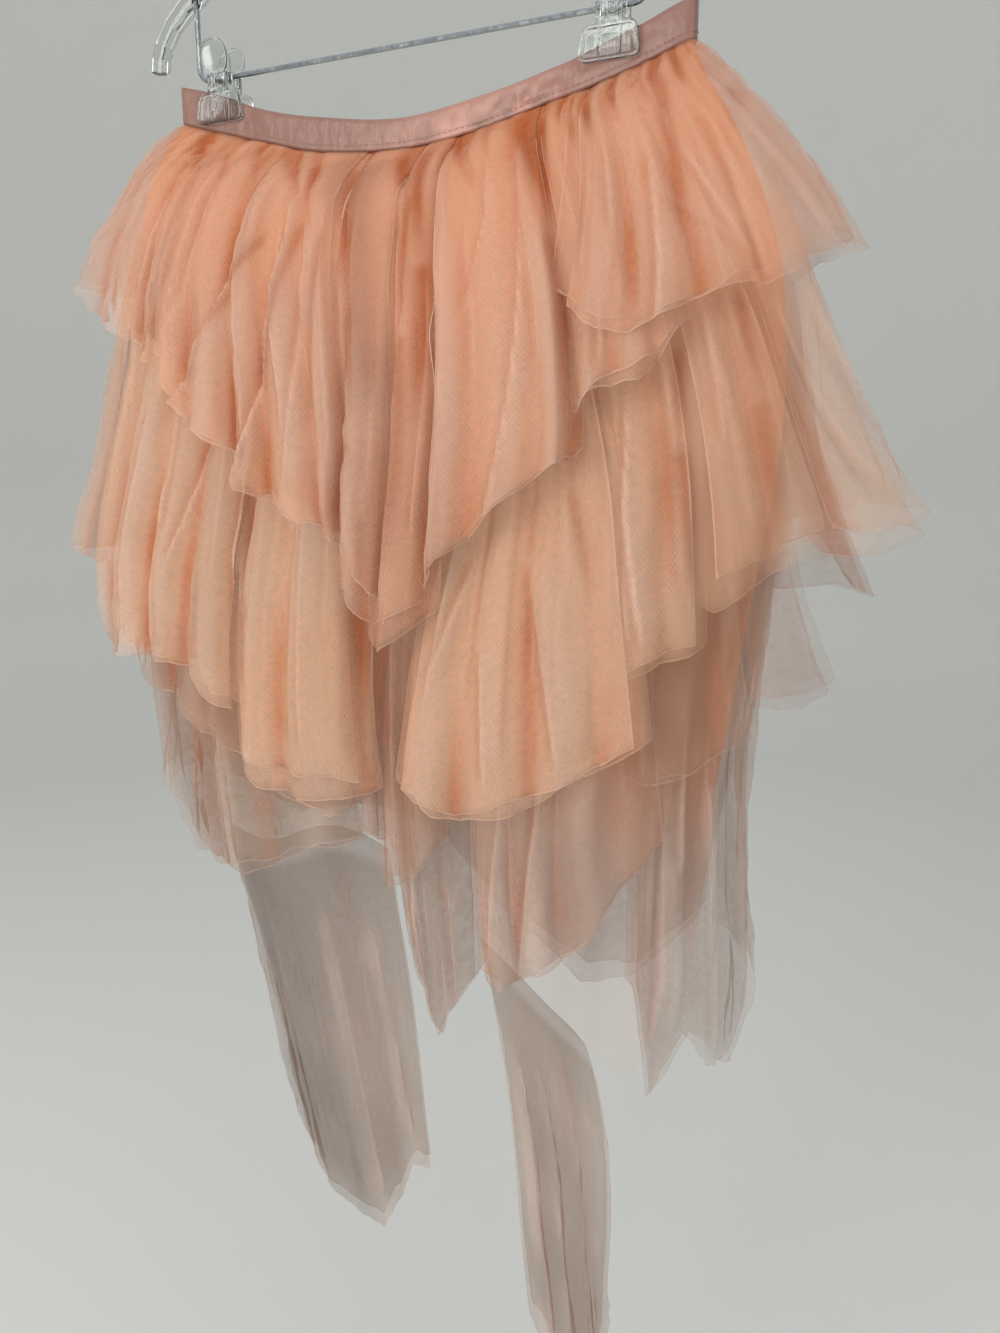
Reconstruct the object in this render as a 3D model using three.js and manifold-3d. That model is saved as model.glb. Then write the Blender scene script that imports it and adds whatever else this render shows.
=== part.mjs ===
// A high-low skirt of net panels in four tiers over a base tube, on a clear hanger with two clips.
// Millimetres, +Z up. The front faces -Y. The origin is the inside top of the hook.
import * as THREE from 'three';
import * as BufferGeometryUtils from 'three/addons/utils/BufferGeometryUtils.js';
import Module from 'manifold-3d';

// Cloth sizes
const CLOTH = 1.2;
const BAND_THICK = 3;
const BAND_CENTRE = 6.5;
const BAND_HALF = 177.5;
const BAND_DEPTH = 5.5;
const PINCH = 1.5;
const PINCH_REACH = 18;
const PINCH_FLAT = 21;
const PINCH_FADE = 18;
const BASE_RIPPLES = 9;
const BASE_RIPPLE_DEPTH = 3;
const GATHER_DEPTH = 2.6;
const GATHER_RISE = 18;
const GATHER_FADE = 70;
const TOP_SEAM = 0.62;
const TAIL_SEAM = 1.1;
const RIPPLE_START = 210;
const RIPPLE_REACH = 150;
const ABOVE_REACH = 16;
const SEAMS = { top: TOP_SEAM, second: 60, third: 120, under: 200 };

// Hanger sizes
const ROD_DROP = 171;
const ROD_RADIUS = 1.75;
const RISER_REACH = 157;
const RISER_TOP = 53;
const RISER_BEND = 8;
const HOOK_RADIUS = 21;
const HOOK_WIRE = 2;
const HUB = { width: 26, depth: 13, top: 114, bottom: 92, bore: 2.35, boreDepth: 12 };
const ARM = { halfDepth: 4.5, halfHeight: 6.5, chamfer: 2, riserBore: 2.15, boreDepth: 24 };
const CLIP = {
  reach: 137, jawWidth: 38, jawTop: -10, jawBottom: -29, corner: 4,
  neckWidth: 20, neckBottom: -6, handleCentre: 14, thick: 2.4, splay: 11,
  lugReach: 7, lugWidth: 3, lugTop: 1.5, lugBottom: -6,
};
// Middle line of the right arm, from its tip: x, and height from the rod
const ARM_LINE = [
  [191, 10], [190, 18], [186, 27], [178, 37], [168, 45], [150, 55], [110, 73], [60, 92], [0, 105],
];
const SPRING = { width: 8, thick: 0.8, bottom: -9, shoulder: 4 };
const CLEARANCE = 0.3;
const GRIP = BAND_DEPTH + BAND_THICK / 2 - PINCH;

const COLOURS = {
  satin: 0xa97f70, top: 0xd2997c, second: 0xc89078, third: 0xb98a72, under: 0xa0897a,
  base: 0xb5826a, tail: 0x98867a, clear: 0xd5d8d6, steel: 0x8b9094,
};

const table = (names, rows) => rows.map((row) => Object.fromEntries(
  names.split(' ').map((name, place) => [name, row[place]])));

// Waistband edges across the front: heights from the rod's centre line
const BAND_EDGES = table('x top bottom', [
  [-172, -2, -25],
  [-140, -11, -34],
  [-100, -26, -45],
  [-60, -35, -55],
  [0, -43, -60],
  [50, -38.5, -56],
  [95, -30.5, -47],
  [140, -18, -37],
  [185, -3, -24],
]);

// Sections of the base tube, by drop below the waistband. Power squares the section off.
const BODY = table('drop halfWidth halfDepth centreX centreY power', [
  [0, 176.5, 3.4, 6.5, 0, 0.3],
  [16, 186, 14, 4, -4, 0.5],
  [36, 197, 26, 6, -9, 0.7],
  [56, 206, 31, 9, -13, 0.85],
  [86, 214, 36, 15, -18, 1],
  [126, 218, 41, 24, -23, 1],
  [176, 216, 43, 31, -27, 1],
  [226, 213, 46, 33, -30, 1],
  [276, 207, 50, 32, -32, 1],
  [326, 199, 54, 32, -33, 1],
  [376, 190, 56, 33, -34, 1],
  [426, 182, 57, 35, -33, 1],
  [476, 175, 56, 37, -30, 1],
  [526, 168, 54, 39, -26, 1],
  [576, 158, 52, 40, -20, 1],
  [626, 149, 50, 40, -14, 1],
  [676, 141, 48, 39, -8, 1],
  [736, 130, 45, 37, 0, 1],
  [796, 118, 42, 36, 6, 1],
  [856, 107, 38, 38, 12, 1],
  [940, 97, 34, 42, 18, 1],
]);

// How far each tier stands off the base, by drop
const LIFTS = table('drop top second third under tail', [
  [0, 3, 2.4, 2.4, 2.4, 0],
  [6, 4.4, 2.4, 2.4, 2.4, 0],
  [16, 7.2, 2.4, 2.4, 2.4, 0],
  [36, 11.5, 2.4, 2.4, 2.4, 0],
  [60, 17.5, 2.4, 2.4, 2.4, 0],
  [86, 25.5, 8, 2.4, 2.4, 0],
  [120, 35, 15, 2.4, 2.4, 0],
  [170, 49, 26, 9, 2.4, 0],
  [200, 57, 32, 12, 2.4, 0],
  [230, 62, 37, 15, 4.5, 0],
  [270, 66, 43, 19, 7, 0],
  [330, 68, 46, 23, 10, 0],
  [400, 68, 46, 28, 11.5, 0],
  [500, 68, 46, 30, 13, 0],
  [600, 68, 46, 30, 14, 0],
  [940, 68, 46, 30, 14, 0],
]);

// Lower edge of the base tube round the body; 0 degrees is the front, 90 is +X
const BASE_HEM = table('angle drop', [
  [-180, 540],
  [-160, 490],
  [-140, 480],
  [-110, 505],
  [-75, 480],
  [-40, 440],
  [0, 420],
  [40, 435],
  [75, 490],
  [105, 570],
  [130, 640],
  [155, 600],
  [180, 540],
]);

// Net panels. Each row is one fold: its angle at the seam and at the hem, its drop, and how
// far its hem stands out from the tier.
const FOLD = 'seam hem drop out';
const PANELS = [
  {
    name: 'top_tier_far_left', tier: 'top', columns: 16, rows: 5, folds: table(FOLD, [
      [-116, -128, 130, 0],
      [-104, -112, 120, 8],
      [-92, -97, 112, 0],
      [-80, -81, 108, 9],
      [-71, -66, 128, -2],
      [-60, -55, 136, 5],
      [-52, -47, 140, -3],
      [-44.5, -40, 150, 4],
    ]),
  },
  {
    name: 'top_tier_left', tier: 'top', columns: 20, rows: 6, folds: table(FOLD, [
      [-43, -38, 158, 4],
      [-40, -31, 179, -3],
      [-36, -25, 184, 5],
      [-31, -19.5, 190, -3],
      [-27, -17, 205, 5],
      [-24, -13, 211, -4],
      [-20, -7, 221, 5],
      [-16, -3, 225, -3],
      [-12.5, -0.5, 228, 5],
      [-9.3, 1.2, 231, -6],
    ]),
  },
  {
    name: 'top_tier_grey_pleat', tier: 'top', columns: 8, rows: 6, folds: table(FOLD, [
      [-8.2, 2.6, 250, -6],
      [-5.5, 3.4, 247, 5],
      [-2, 4.6, 249, 8],
      [1.5, 5.8, 256, 3],
      [4.2, 7, 263, -6],
    ]),
  },
  {
    name: 'top_tier_centre_strip', tier: 'top', columns: 6, rows: 6, folds: table(FOLD, [
      [5.2, 8.2, 278, -4],
      [7.2, 10, 273, 5],
      [9.5, 12.3, 270, 2],
      [11.4, 14.3, 267, -5],
    ]),
  },
  {
    name: 'top_tier_centre', tier: 'top', columns: 12, rows: 6, folds: table(FOLD, [
      [12.4, 15.2, 256, 2],
      [14, 16.3, 245, 6],
      [18, 20, 234, 1],
      [22, 25, 218, 7],
      [26, 30, 207, 3],
      [28.5, 32.6, 203, 5],
      [30.3, 33.8, 204, -6],
    ]),
  },
  {
    name: 'top_tier_right_centre', tier: 'top', columns: 10, rows: 5, gather: 1, folds: table(FOLD, [
      [31.5, 34.6, 176, -4],
      [33.5, 37, 168, 3],
      [35.5, 40, 165, -2],
      [37.5, 44, 163, 3],
      [39.5, 47, 157, -2],
      [41.3, 51, 142, 1],
    ]),
  },
  {
    name: 'top_tier_right', tier: 'top', columns: 22, rows: 5, above: 5, folds: table(FOLD, [
      [43, 33.5, 124, 2],
      [45.5, 38, 140, 7],
      [48, 43, 147, 1],
      [51, 48, 142, 6],
      [55, 55, 138, 1],
      [60, 61, 135, 6],
      [66, 68, 133, 1],
      [72, 77, 126, 5],
      [80, 86, 117, 0],
      [90, 95, 112, 5],
      [100, 104, 116, 0],
      [108, 116, 122, 3],
    ]),
  },
  {
    name: 'top_tier_back_right', tier: 'top', columns: 14, rows: 4, folds: table(FOLD, [
      [110.5, 118.5, 140, 0],
      [118, 126, 150, 8],
      [126, 134, 158, 0],
      [136, 142, 170, 8],
      [146, 150, 176, 0],
      [156, 158, 182, 7],
      [166, 167, 186, 0],
      [174, 175, 188, 5],
    ]),
  },
  {
    name: 'top_tier_back_left', tier: 'top', columns: 14, rows: 4, folds: table(FOLD, [
      [176, 177, 190, 4],
      [185, 185, 188, 0],
      [194, 193, 184, 8],
      [204, 201, 178, 0],
      [214, 209, 170, 7],
      [223, 217, 158, 0],
      [232, 224, 146, 7],
      [241.5, 230, 132, 0],
    ]),
  },
  {
    name: 'second_tier_far_left', tier: 'second', columns: 8, rows: 5, seat: 1.35, folds: table(FOLD, [
      [-100, -112, 280, 6],
      [-90, -100, 282, 20],
      [-80, -90, 284, 13],
      [-70, -82, 286, 24],
      [-60, -76, 290, 12],
    ]),
  },
  {
    name: 'second_tier_left', tier: 'second', columns: 14, rows: 6, seat: 1.15, folds: table(FOLD, [
      [-57, -73, 322, 10],
      [-50, -65, 344, 4],
      [-45, -56, 340, 9],
      [-40, -48, 335, 0],
      [-35, -42, 333, 7],
      [-30, -36, 332, -2],
      [-26, -29, 338, 6],
      [-22, -24, 343, -2],
    ]),
  },
  {
    name: 'second_tier_left_centre', tier: 'second', columns: 10, rows: 6, seat: 1.25, folds: table(FOLD, [
      [-19, -21.5, 360, 2],
      [-17, -17.5, 370, 9],
      [-14, -12, 369, 4],
      [-11, -7, 368, 9],
      [-8.5, -1.5, 366, 4],
      [-6.5, 2.4, 367, -4],
    ]),
  },
  {
    name: 'second_tier_centre', tier: 'second', columns: 14, rows: 7, seat: 1.35, folds: table(FOLD, [
      [18.5, 11.2, 366, 6],
      [20, 15, 373, 12],
      [21.3, 20, 384, 7],
      [22.6, 26, 380, 13],
      [24, 33, 374, 8],
      [25.2, 38, 368, 13],
      [26.4, 44, 361, 7],
      [27.6, 50, 353, 9],
    ]),
  },
  {
    name: 'second_tier_right_centre', tier: 'second', columns: 6, rows: 6, seat: 1.35, folds: table(FOLD, [
      [28.8, 45, 321, -3],
      [33, 49, 314, 4],
      [38, 54, 310, -2],
      [43, 59, 308, 4],
    ]),
  },
  {
    name: 'second_tier_right', tier: 'second', columns: 6, rows: 6, seat: 1.35, folds: table(FOLD, [
      [44.6, 61, 279, 4],
      [48, 66, 273, 10],
      [52, 71, 267, 5],
      [56, 79, 258, 12],
    ]),
  },
  {
    name: 'second_tier_far_right', tier: 'second', columns: 10, rows: 6, seat: 1.1, folds: table(FOLD, [
      [58, 82, 257, 8],
      [64, 88, 254, 28],
      [72, 96, 250, 43],
      [82, 104, 246, 34],
      [92, 112, 250, 20],
      [100, 120, 256, 10],
    ]),
  },
  {
    name: 'second_tier_back_right', tier: 'second', columns: 12, rows: 5, seat: 0.7, folds: table(FOLD, [
      [102, 122, 280, 6],
      [112, 130, 292, 12],
      [122, 138, 300, 4],
      [134, 147, 312, 12],
      [146, 156, 320, 4],
      [158, 166, 326, 11],
      [170, 176, 330, 4],
    ]),
  },
  {
    name: 'second_tier_back_left', tier: 'second', columns: 12, rows: 5, seat: 0.85, folds: table(FOLD, [
      [172, 178, 332, 4],
      [184, 187, 330, 11],
      [196, 197, 322, 4],
      [208, 207, 312, 12],
      [220, 219, 300, 4],
      [234, 232, 288, 10],
      [256, 246, 280, 5],
    ]),
  },
  {
    name: 'third_tier_left', tier: 'third', columns: 12, rows: 5, seat: 0.85, folds: table(FOLD, [
      [-84, -92, 330, 10],
      [-74, -82, 345, 22],
      [-64, -73, 352, 12],
      [-54, -62, 368, 12],
      [-46, -52, 366, 3],
      [-38, -41, 374, 8],
      [-26, -26, 380, 1],
    ]),
  },
  {
    name: 'third_tier_left_centre', tier: 'third', columns: 8, rows: 5, seat: 1.05, folds: table(FOLD, [
      [-24, -23, 384, 2],
      [-18, -17, 392, 7],
      [-12, -10, 396, 2],
      [-7, -5, 392, 7],
      [-4, -2.4, 386, 1],
    ]),
  },
  {
    name: 'third_tier_narrow_strip', tier: 'third', columns: 4, rows: 5, seat: 1.25, folds: table(FOLD, [
      [-2.6, -0.8, 390, -2],
      [-1, 0.8, 402, 4],
      [0.2, 2.4, 407, -2],
    ]),
  },
  {
    name: 'third_tier_centre_strip', tier: 'third', columns: 8, rows: 6, seat: 1.25, folds: table(FOLD, [
      [1.4, 3.6, 441, -2],
      [4, 5.5, 436, 5],
      [7, 8.5, 432, 1],
      [10, 12.5, 421, 5],
      [12, 16, 405, 0],
    ]),
  },
  {
    name: 'third_tier_centre', tier: 'third', columns: 14, rows: 6, seat: 1.05, folds: table(FOLD, [
      [18, 23, 496, 2],
      [21, 26.5, 499, 7],
      [23, 30, 497, 1],
      [25.5, 34, 490, 6],
      [28, 38.5, 484, 1],
      [31, 44, 474, 5],
      [34, 51, 446, -2],
      [36, 60, 422, -3],
    ]),
  },
  {
    name: 'third_tier_right_centre', tier: 'third', columns: 6, rows: 5, seat: 0.85, folds: table(FOLD, [
      [37.5, 54, 380, 8],
      [42, 62, 380, 12],
      [46, 70, 372, 7],
      [50, 76, 366, 10],
    ]),
  },
  {
    name: 'third_tier_right', tier: 'third', columns: 6, rows: 5, seat: 1.0, folds: table(FOLD, [
      [51.5, 77.5, 350, 6],
      [56, 82, 349, 14],
      [60, 88, 347, 24],
      [64, 93, 344, 32],
    ]),
  },
  {
    name: 'third_tier_far_right', tier: 'third', columns: 6, rows: 5, seat: 1.5, folds: table(FOLD, [
      [66, 95.5, 296, 40],
      [73, 101, 302, 56],
      [80, 107, 298, 50],
      [88, 114, 300, 34],
    ]),
  },
  {
    name: 'third_tier_back_right', tier: 'third', columns: 12, rows: 5, seat: 1.2, folds: table(FOLD, [
      [90, 116.5, 380, 10],
      [102, 124, 392, 5],
      [114, 133, 402, 10],
      [128, 144, 412, 4],
      [142, 155, 420, 9],
      [156, 166, 426, 3],
      [168, 175, 430, 7],
    ]),
  },
  {
    name: 'third_tier_back_left', tier: 'third', columns: 16, rows: 5, seat: 0.85, folds: table(FOLD, [
      [170.5, 177.5, 430, 3],
      [182, 186, 426, 9],
      [196, 197, 418, 3],
      [210, 209, 406, 9],
      [224, 222, 394, 3],
      [238, 236, 380, 9],
      [250, 248, 366, 4],
      [262, 258, 350, 10],
      [273, 265.5, 338, 6],
    ]),
  },
  {
    name: 'under_tier_left', tier: 'under', columns: 16, rows: 5, seat: 0.75, folds: table(FOLD, [
      [-84, -96, 440, 16],
      [-74, -84, 452, 28],
      [-66, -76, 470, 18],
      [-58, -69, 492, 12],
      [-50, -56, 488, 4],
      [-42, -43, 479, 9],
      [-32, -30, 455, 1],
      [-22, -18, 432, 6],
      [-8, -4, 412, 1],
    ]),
  },
  {
    name: 'under_tier_point', tier: 'under', columns: 8, rows: 6, seat: 0.85, folds: table(FOLD, [
      [1, 3.5, 470, -2],
      [4, 6.5, 508, 4],
      [7, 9, 551, 0],
      [11, 12, 530, 4],
      [19, 18.5, 503, 0],
    ]),
  },
  {
    name: 'under_tier_right', tier: 'under', columns: 12, rows: 6, seat: 0.9, folds: table(FOLD, [
      [50, 57, 520, 0],
      [54, 67, 606, 6],
      [60, 76, 560, 10],
      [66, 86, 590, 20],
      [72, 94, 600, 26],
      [80, 102, 545, 34],
      [88, 110, 520, 26],
    ]),
  },
  {
    name: 'under_tier_back_right', tier: 'under', columns: 10, rows: 5, seat: 0.35, folds: table(FOLD, [
      [92, 113, 500, 9],
      [108, 126, 530, 3],
      [124, 138, 556, 9],
      [140, 152, 560, 2],
      [156, 166, 535, 7],
      [170, 177, 505, 2],
    ]),
  },
  {
    name: 'under_tier_back_left', tier: 'under', columns: 12, rows: 5, seat: 0.25, folds: table(FOLD, [
      [173, 180, 500, 2],
      [188, 192, 470, 8],
      [204, 206, 458, 2],
      [220, 220, 470, 8],
      [236, 234, 484, 2],
      [250, 248, 474, 7],
      [268, 261, 456, 9],
    ]),
  },
  {
    name: 'tail_left', tier: 'tail', columns: 14, rows: 6, seat: 0.1, folds: table(FOLD, [
      [-155, -155, 757, 0],
      [-146, -147, 762, 8],
      [-136, -138, 800, 1],
      [-124, -122, 841, 9],
      [-112, -105, 830, 2],
      [-98, -88, 803, 10],
      [-88, -76, 760, 3],
      [-78, -70, 708, 12],
    ]),
  },
  {
    name: 'tail_right', tier: 'tail', columns: 12, rows: 7, seat: 0.15, folds: table(FOLD, [
      [147, 107, 850, 2],
      [153, 116, 905, 9],
      [159, 126, 930, 1],
      [165, 137, 935, 9],
      [171, 148, 920, 1],
      [176, 156, 895, 8],
      [181, 162, 868, 2],
    ]),
  },
];

// Value of a column between two rows, on a smooth curve through the rows
function lookup(rows, key, at, column) {
  const last = rows.length - 1;
  if (at <= rows[0][key]) return rows[0][column];
  if (at >= rows[last][key]) return rows[last][column];
  const low = rows.findIndex((row, place) => place < last && at < rows[place + 1][key]);
  const slope = (place) => {
    const before = rows[Math.max(place - 1, 0)];
    const after = rows[Math.min(place + 1, last)];
    return (after[column] - before[column]) / (after[key] - before[key]);
  };
  const span = rows[low + 1][key] - rows[low][key];
  const share = (at - rows[low][key]) / span;
  const [one, two, three] = [share, share ** 2, share ** 3];
  return rows[low][column] * (2 * three - 3 * two + 1)
    + rows[low + 1][column] * (3 * two - 2 * three)
    + span * slope(low) * (three - 2 * two + one)
    + span * slope(low + 1) * (three - two);
}

// Value of a column between folds: rounded from ridge to valley, straight for the others
function acrossFolds(folds, share, column, rounded) {
  const place = Math.min(share * (folds.length - 1), folds.length - 1.000001);
  const low = Math.floor(place);
  const part = place - low;
  const blend = rounded ? (1 - Math.cos(Math.PI * part)) / 2 : part;
  return folds[low][column] + (folds[low + 1][column] - folds[low][column]) * blend;
}

const radians = (angle) => THREE.MathUtils.degToRad(angle);
const wrap = (angle) => THREE.MathUtils.euclideanModulo(angle + 180, 360) - 180;

// How far the clips press the cloth in, near the waistband
function pinch(x, drop) {
  const past = Math.abs(Math.abs(x) - CLIP.reach) - PINCH_FLAT;
  const away = THREE.MathUtils.clamp(past / PINCH_REACH, 0, 1);
  return PINCH * (1 + Math.cos(Math.PI * away)) / 2 * Math.exp(-drop / PINCH_FADE);
}

// A point on the skirt, lift millimetres outside the base tube
function bodyPoint(angle, drop, lift) {
  const side = Math.sin(radians(angle));
  const front = Math.cos(radians(angle));
  const size = (column) => lookup(BODY, 'drop', drop, column);
  const bandX = BAND_CENTRE + BAND_HALF * side;
  const across = size('halfDepth') * side;
  const along = -size('halfWidth') * front;
  const length = Math.hypot(across, along);
  const out = lift - pinch(bandX, drop);
  const depth = size('halfDepth') * Math.sign(front) * Math.abs(front) ** size('power');
  return new THREE.Vector3(
    size('centreX') + size('halfWidth') * side + across / length * out,
    size('centreY') - depth + along / length * out,
    lookup(BAND_EDGES, 'x', bandX, 'bottom') - drop - ROD_DROP);
}

// A closed wall of even thickness on a grid of points[column][row]; its sewn edge is square
function wall(points, thick, closed) {
  const columns = points.length;
  const rows = points[0].length;
  const at = (column, row) => points[closed ? (column + columns) % columns
    : THREE.MathUtils.clamp(column, 0, columns - 1)][THREE.MathUtils.clamp(row, 0, rows - 1)];
  const places = [];
  points.forEach((line, column) => line.forEach((point, row) => {
    const down = at(column, row + 1).clone().sub(at(column, row - 1));
    const across = at(column + 1, row).clone().sub(at(column - 1, row));
    const normal = down.cross(across);
    if (row === 0) normal.z = 0;
    normal.normalize().multiplyScalar(thick / 2);
    places.push(point.clone().add(normal), point.clone().sub(normal));
  }));
  const outer = (column, row) => 2 * ((column % columns) * rows + row);
  const inner = (column, row) => outer(column, row) + 1;
  const index = [];
  const quad = (a, b, c, d) => index.push(a, b, c, a, c, d);
  const spans = closed ? columns : columns - 1;
  for (let column = 0; column < spans; column += 1) {
    const next = column + 1;
    for (let row = 0; row < rows - 1; row += 1) {
      quad(outer(column, row), outer(column, row + 1), outer(next, row + 1), outer(next, row));
      quad(inner(column, row), inner(next, row), inner(next, row + 1), inner(column, row + 1));
    }
    quad(outer(column, 0), outer(next, 0), inner(next, 0), inner(column, 0));
    const foot = rows - 1;
    quad(outer(next, foot), outer(column, foot), inner(column, foot), inner(next, foot));
  }
  const end = columns - 1;
  for (let row = 0; !closed && row < rows - 1; row += 1) {
    quad(outer(0, row), inner(0, row), inner(0, row + 1), outer(0, row + 1));
    quad(inner(end, row), outer(end, row), outer(end, row + 1), inner(end, row + 1));
  }
  const geometry = new THREE.BufferGeometry().setFromPoints(places);
  geometry.setIndex(index);
  return geometry;
}

const baseHem = (angle) => lookup(BASE_HEM, 'angle', wrap(angle), 'drop');

function baseRipple(angle, drop) {
  const ramp = THREE.MathUtils.clamp((drop - RIPPLE_START) / RIPPLE_REACH, 0, 1);
  return BASE_RIPPLE_DEPTH * ramp ** 2 * Math.sin(radians(angle * BASE_RIPPLES));
}

// The waist gathers deepen just below the band and fade out down the panel
function gatherShare(drop) {
  return Math.min(drop / GATHER_RISE, 1) * Math.exp(-((drop / GATHER_FADE) ** 2));
}

// seat brings the sewn edge closer to the base tube than the panel's own lift
function netPanel({ tier, columns, rows, above = 0, seat = 0, gather = GATHER_DEPTH, folds }) {
  const points = [];
  for (let column = 0; column <= columns; column += 1) {
    const share = column / columns;
    const [seam, hem, drop] = ['seam', 'hem', 'drop'].map((key) => acrossFolds(folds, share, key));
    const out = acrossFolds(folds, share, 'out', true);
    const start = tier === 'tail' ? baseHem(seam) + TAIL_SEAM - seat : SEAMS[tier];
    const line = [];
    for (let row = 0; row <= rows; row += 1) {
      const down = (row / rows) ** 1.3;
      const depth = start + (drop - start) * down;
      let lift = lookup(LIFTS, 'drop', depth, tier) + out * down;
      lift += above * Math.min(depth / ABOVE_REACH, 1);
      if (tier !== 'tail' && row === 0) lift -= seat;
      if (tier === 'top') lift += (column % 2 ? gather : -gather) * gatherShare(depth);
      if (tier === 'tail') lift += baseRipple(seam, depth) * (1 - down);
      line.push(bodyPoint(seam + (hem - seam) * down, depth, lift));
    }
    points.push(line);
  }
  return wall(points, CLOTH, false);
}

function baseTube() {
  const columns = 48;
  const rows = 9;
  const points = [];
  for (let column = 0; column < columns; column += 1) {
    const angle = -180 + 360 * column / columns;
    const line = [];
    for (let row = 0; row <= rows; row += 1) {
      const drop = TOP_SEAM + (baseHem(angle) - TOP_SEAM) * (row / rows) ** 1.6;
      line.push(bodyPoint(angle, drop, baseRipple(angle, drop)));
    }
    points.push(line);
  }
  return wall(points, CLOTH, true);
}

function waistband() {
  const columns = 64;
  const points = [];
  for (let column = 0; column < columns; column += 1) {
    const turn = radians(-180 + 360 * column / columns);
    const x = BAND_CENTRE + BAND_HALF * Math.sin(turn);
    const front = Math.cos(turn);
    const depth = (BAND_DEPTH - pinch(x, 0)) * Math.sign(front) * Math.abs(front) ** 0.3;
    const edge = (column) => lookup(BAND_EDGES, 'x', x, column) - ROD_DROP;
    points.push([
      new THREE.Vector3(x, -depth, edge('top')),
      new THREE.Vector3(x, -depth, edge('bottom')),
    ]);
  }
  return wall(points, BAND_THICK, true);
}

const wasm = await Module();
wasm.setup();

function toSolid(geometry) {
  const plain = geometry.clone();
  plain.deleteAttribute('normal');
  plain.deleteAttribute('uv');
  const merged = BufferGeometryUtils.mergeVertices(plain, 1e-4);
  return new wasm.Manifold(new wasm.Mesh({
    numProp: 3,
    vertProperties: new Float32Array(merged.attributes.position.array),
    triVerts: new Uint32Array(merged.index.array),
  }));
}

function toGeometry(solid) {
  const mesh = solid.getMesh();
  const geometry = new THREE.BufferGeometry();
  geometry.setAttribute('position', new THREE.BufferAttribute(mesh.vertProperties, 3));
  geometry.setIndex(new THREE.BufferAttribute(mesh.triVerts, 1));
  return geometry;
}

// A bar of one section along a line in the plane of the hanger: x, and height from the rod.
// Section points are across the bar in that plane, and front to back.
function bar(line, section) {
  const last = line.length - 1;
  const sides = section.length;
  const places = [];
  line.forEach(([x, height], place) => {
    const [beforeX, beforeHeight] = line[Math.max(place - 1, 0)];
    const [afterX, afterHeight] = line[Math.min(place + 1, last)];
    const length = Math.hypot(afterX - beforeX, afterHeight - beforeHeight);
    const [acrossX, acrossZ] = [
      (beforeHeight - afterHeight) / length, (afterX - beforeX) / length,
    ];
    for (const [across, deep] of section) {
      places.push(new THREE.Vector3(
        x + acrossX * across, deep, height + acrossZ * across - ROD_DROP));
    }
  });
  const index = [];
  for (let side = 0; side < sides; side += 1) {
    const next = (side + 1) % sides;
    for (let place = 0; place < last; place += 1) {
      const [a, b] = [place * sides + side, place * sides + next];
      index.push(a, a + sides, b, b, a + sides, b + sides);
    }
    if (side > 1) index.push(0, side - 1, side);
    if (side > 1) index.push(last * sides, last * sides + side, last * sides + side - 1);
  }
  const geometry = new THREE.BufferGeometry().setFromPoints(places);
  geometry.setIndex(index);
  return geometry;
}

function round(radius, sides) {
  const section = [];
  for (let side = 0; side < sides; side += 1) {
    const turn = 2 * Math.PI * side / sides;
    section.push([radius * Math.cos(turn), radius * Math.sin(turn)]);
  }
  return section;
}

// Points on an arc in the plane of the hanger
function arc(centreX, centreHeight, radius, from, to, steps) {
  const points = [];
  for (let step = 0; step <= steps; step += 1) {
    const turn = radians(from + (to - from) * step / steps);
    points.push([centreX + radius * Math.cos(turn), centreHeight + radius * Math.sin(turn)]);
  }
  return points;
}

// The crook runs over the top, swings back under it and ends in the hub
function hook() {
  const centre = ROD_DROP + HOOK_WIRE - HOOK_RADIUS;
  const crook = arc(0, centre, HOOK_RADIUS, 205, -50, 15);
  const swing = [[7.5, centre - 22], [2.5, centre - 28], [0.4, centre - 34]];
  const foot = HUB.top - HUB.boreDepth + CLEARANCE;
  return bar([...crook, ...swing, [0, HUB.top], [0, foot]], round(HOOK_WIRE, 8));
}

function hangerBody() {
  const { halfDepth: deep, halfHeight: high, chamfer } = ARM;
  const quarter = [[high, deep - chamfer], [high - chamfer, deep]];
  const section = [
    ...quarter,
    ...quarter.map(([z, y]) => [-z, y]).reverse(),
    ...quarter.map(([z, y]) => [-z, -y]),
    ...quarter.map(([z, y]) => [z, -y]).reverse(),
  ];
  const left = ARM_LINE.map(([x, height]) => [-x, height]);
  const arms = bar([...left, ...ARM_LINE.slice(0, -1).reverse()], section);
  const hub = new THREE.BoxGeometry(HUB.width, HUB.depth, HUB.top - HUB.bottom);
  hub.translate(0, 0, (HUB.top + HUB.bottom) / 2 - ROD_DROP);
  const bore = (radius, x, low, high) => {
    const hole = new THREE.CylinderGeometry(radius, radius, high - low, 12);
    return toSolid(hole.rotateX(Math.PI / 2).translate(x, 0, (low + high) / 2 - ROD_DROP));
  };
  let body = toSolid(arms).add(toSolid(hub));
  body = body.subtract(bore(HUB.bore, 0, HUB.top - HUB.boreDepth, HUB.top + 1));
  for (const x of [-RISER_REACH, RISER_REACH]) {
    body = body.subtract(bore(ARM.riserBore, x, RISER_TOP - ARM.boreDepth, RISER_TOP + CLEARANCE));
  }
  return toGeometry(body);
}

// One wire: up into each arm, round a bend, and level between them as the rod
function clipRod() {
  const corner = RISER_REACH - RISER_BEND;
  const half = [
    [RISER_REACH, RISER_TOP], ...arc(corner, RISER_BEND, RISER_BEND, 0, -90, 4),
  ];
  const left = half.map(([x, height]) => [-x, height]);
  return bar([...left, ...half.reverse()], round(ROD_RADIUS, 8));
}

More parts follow.
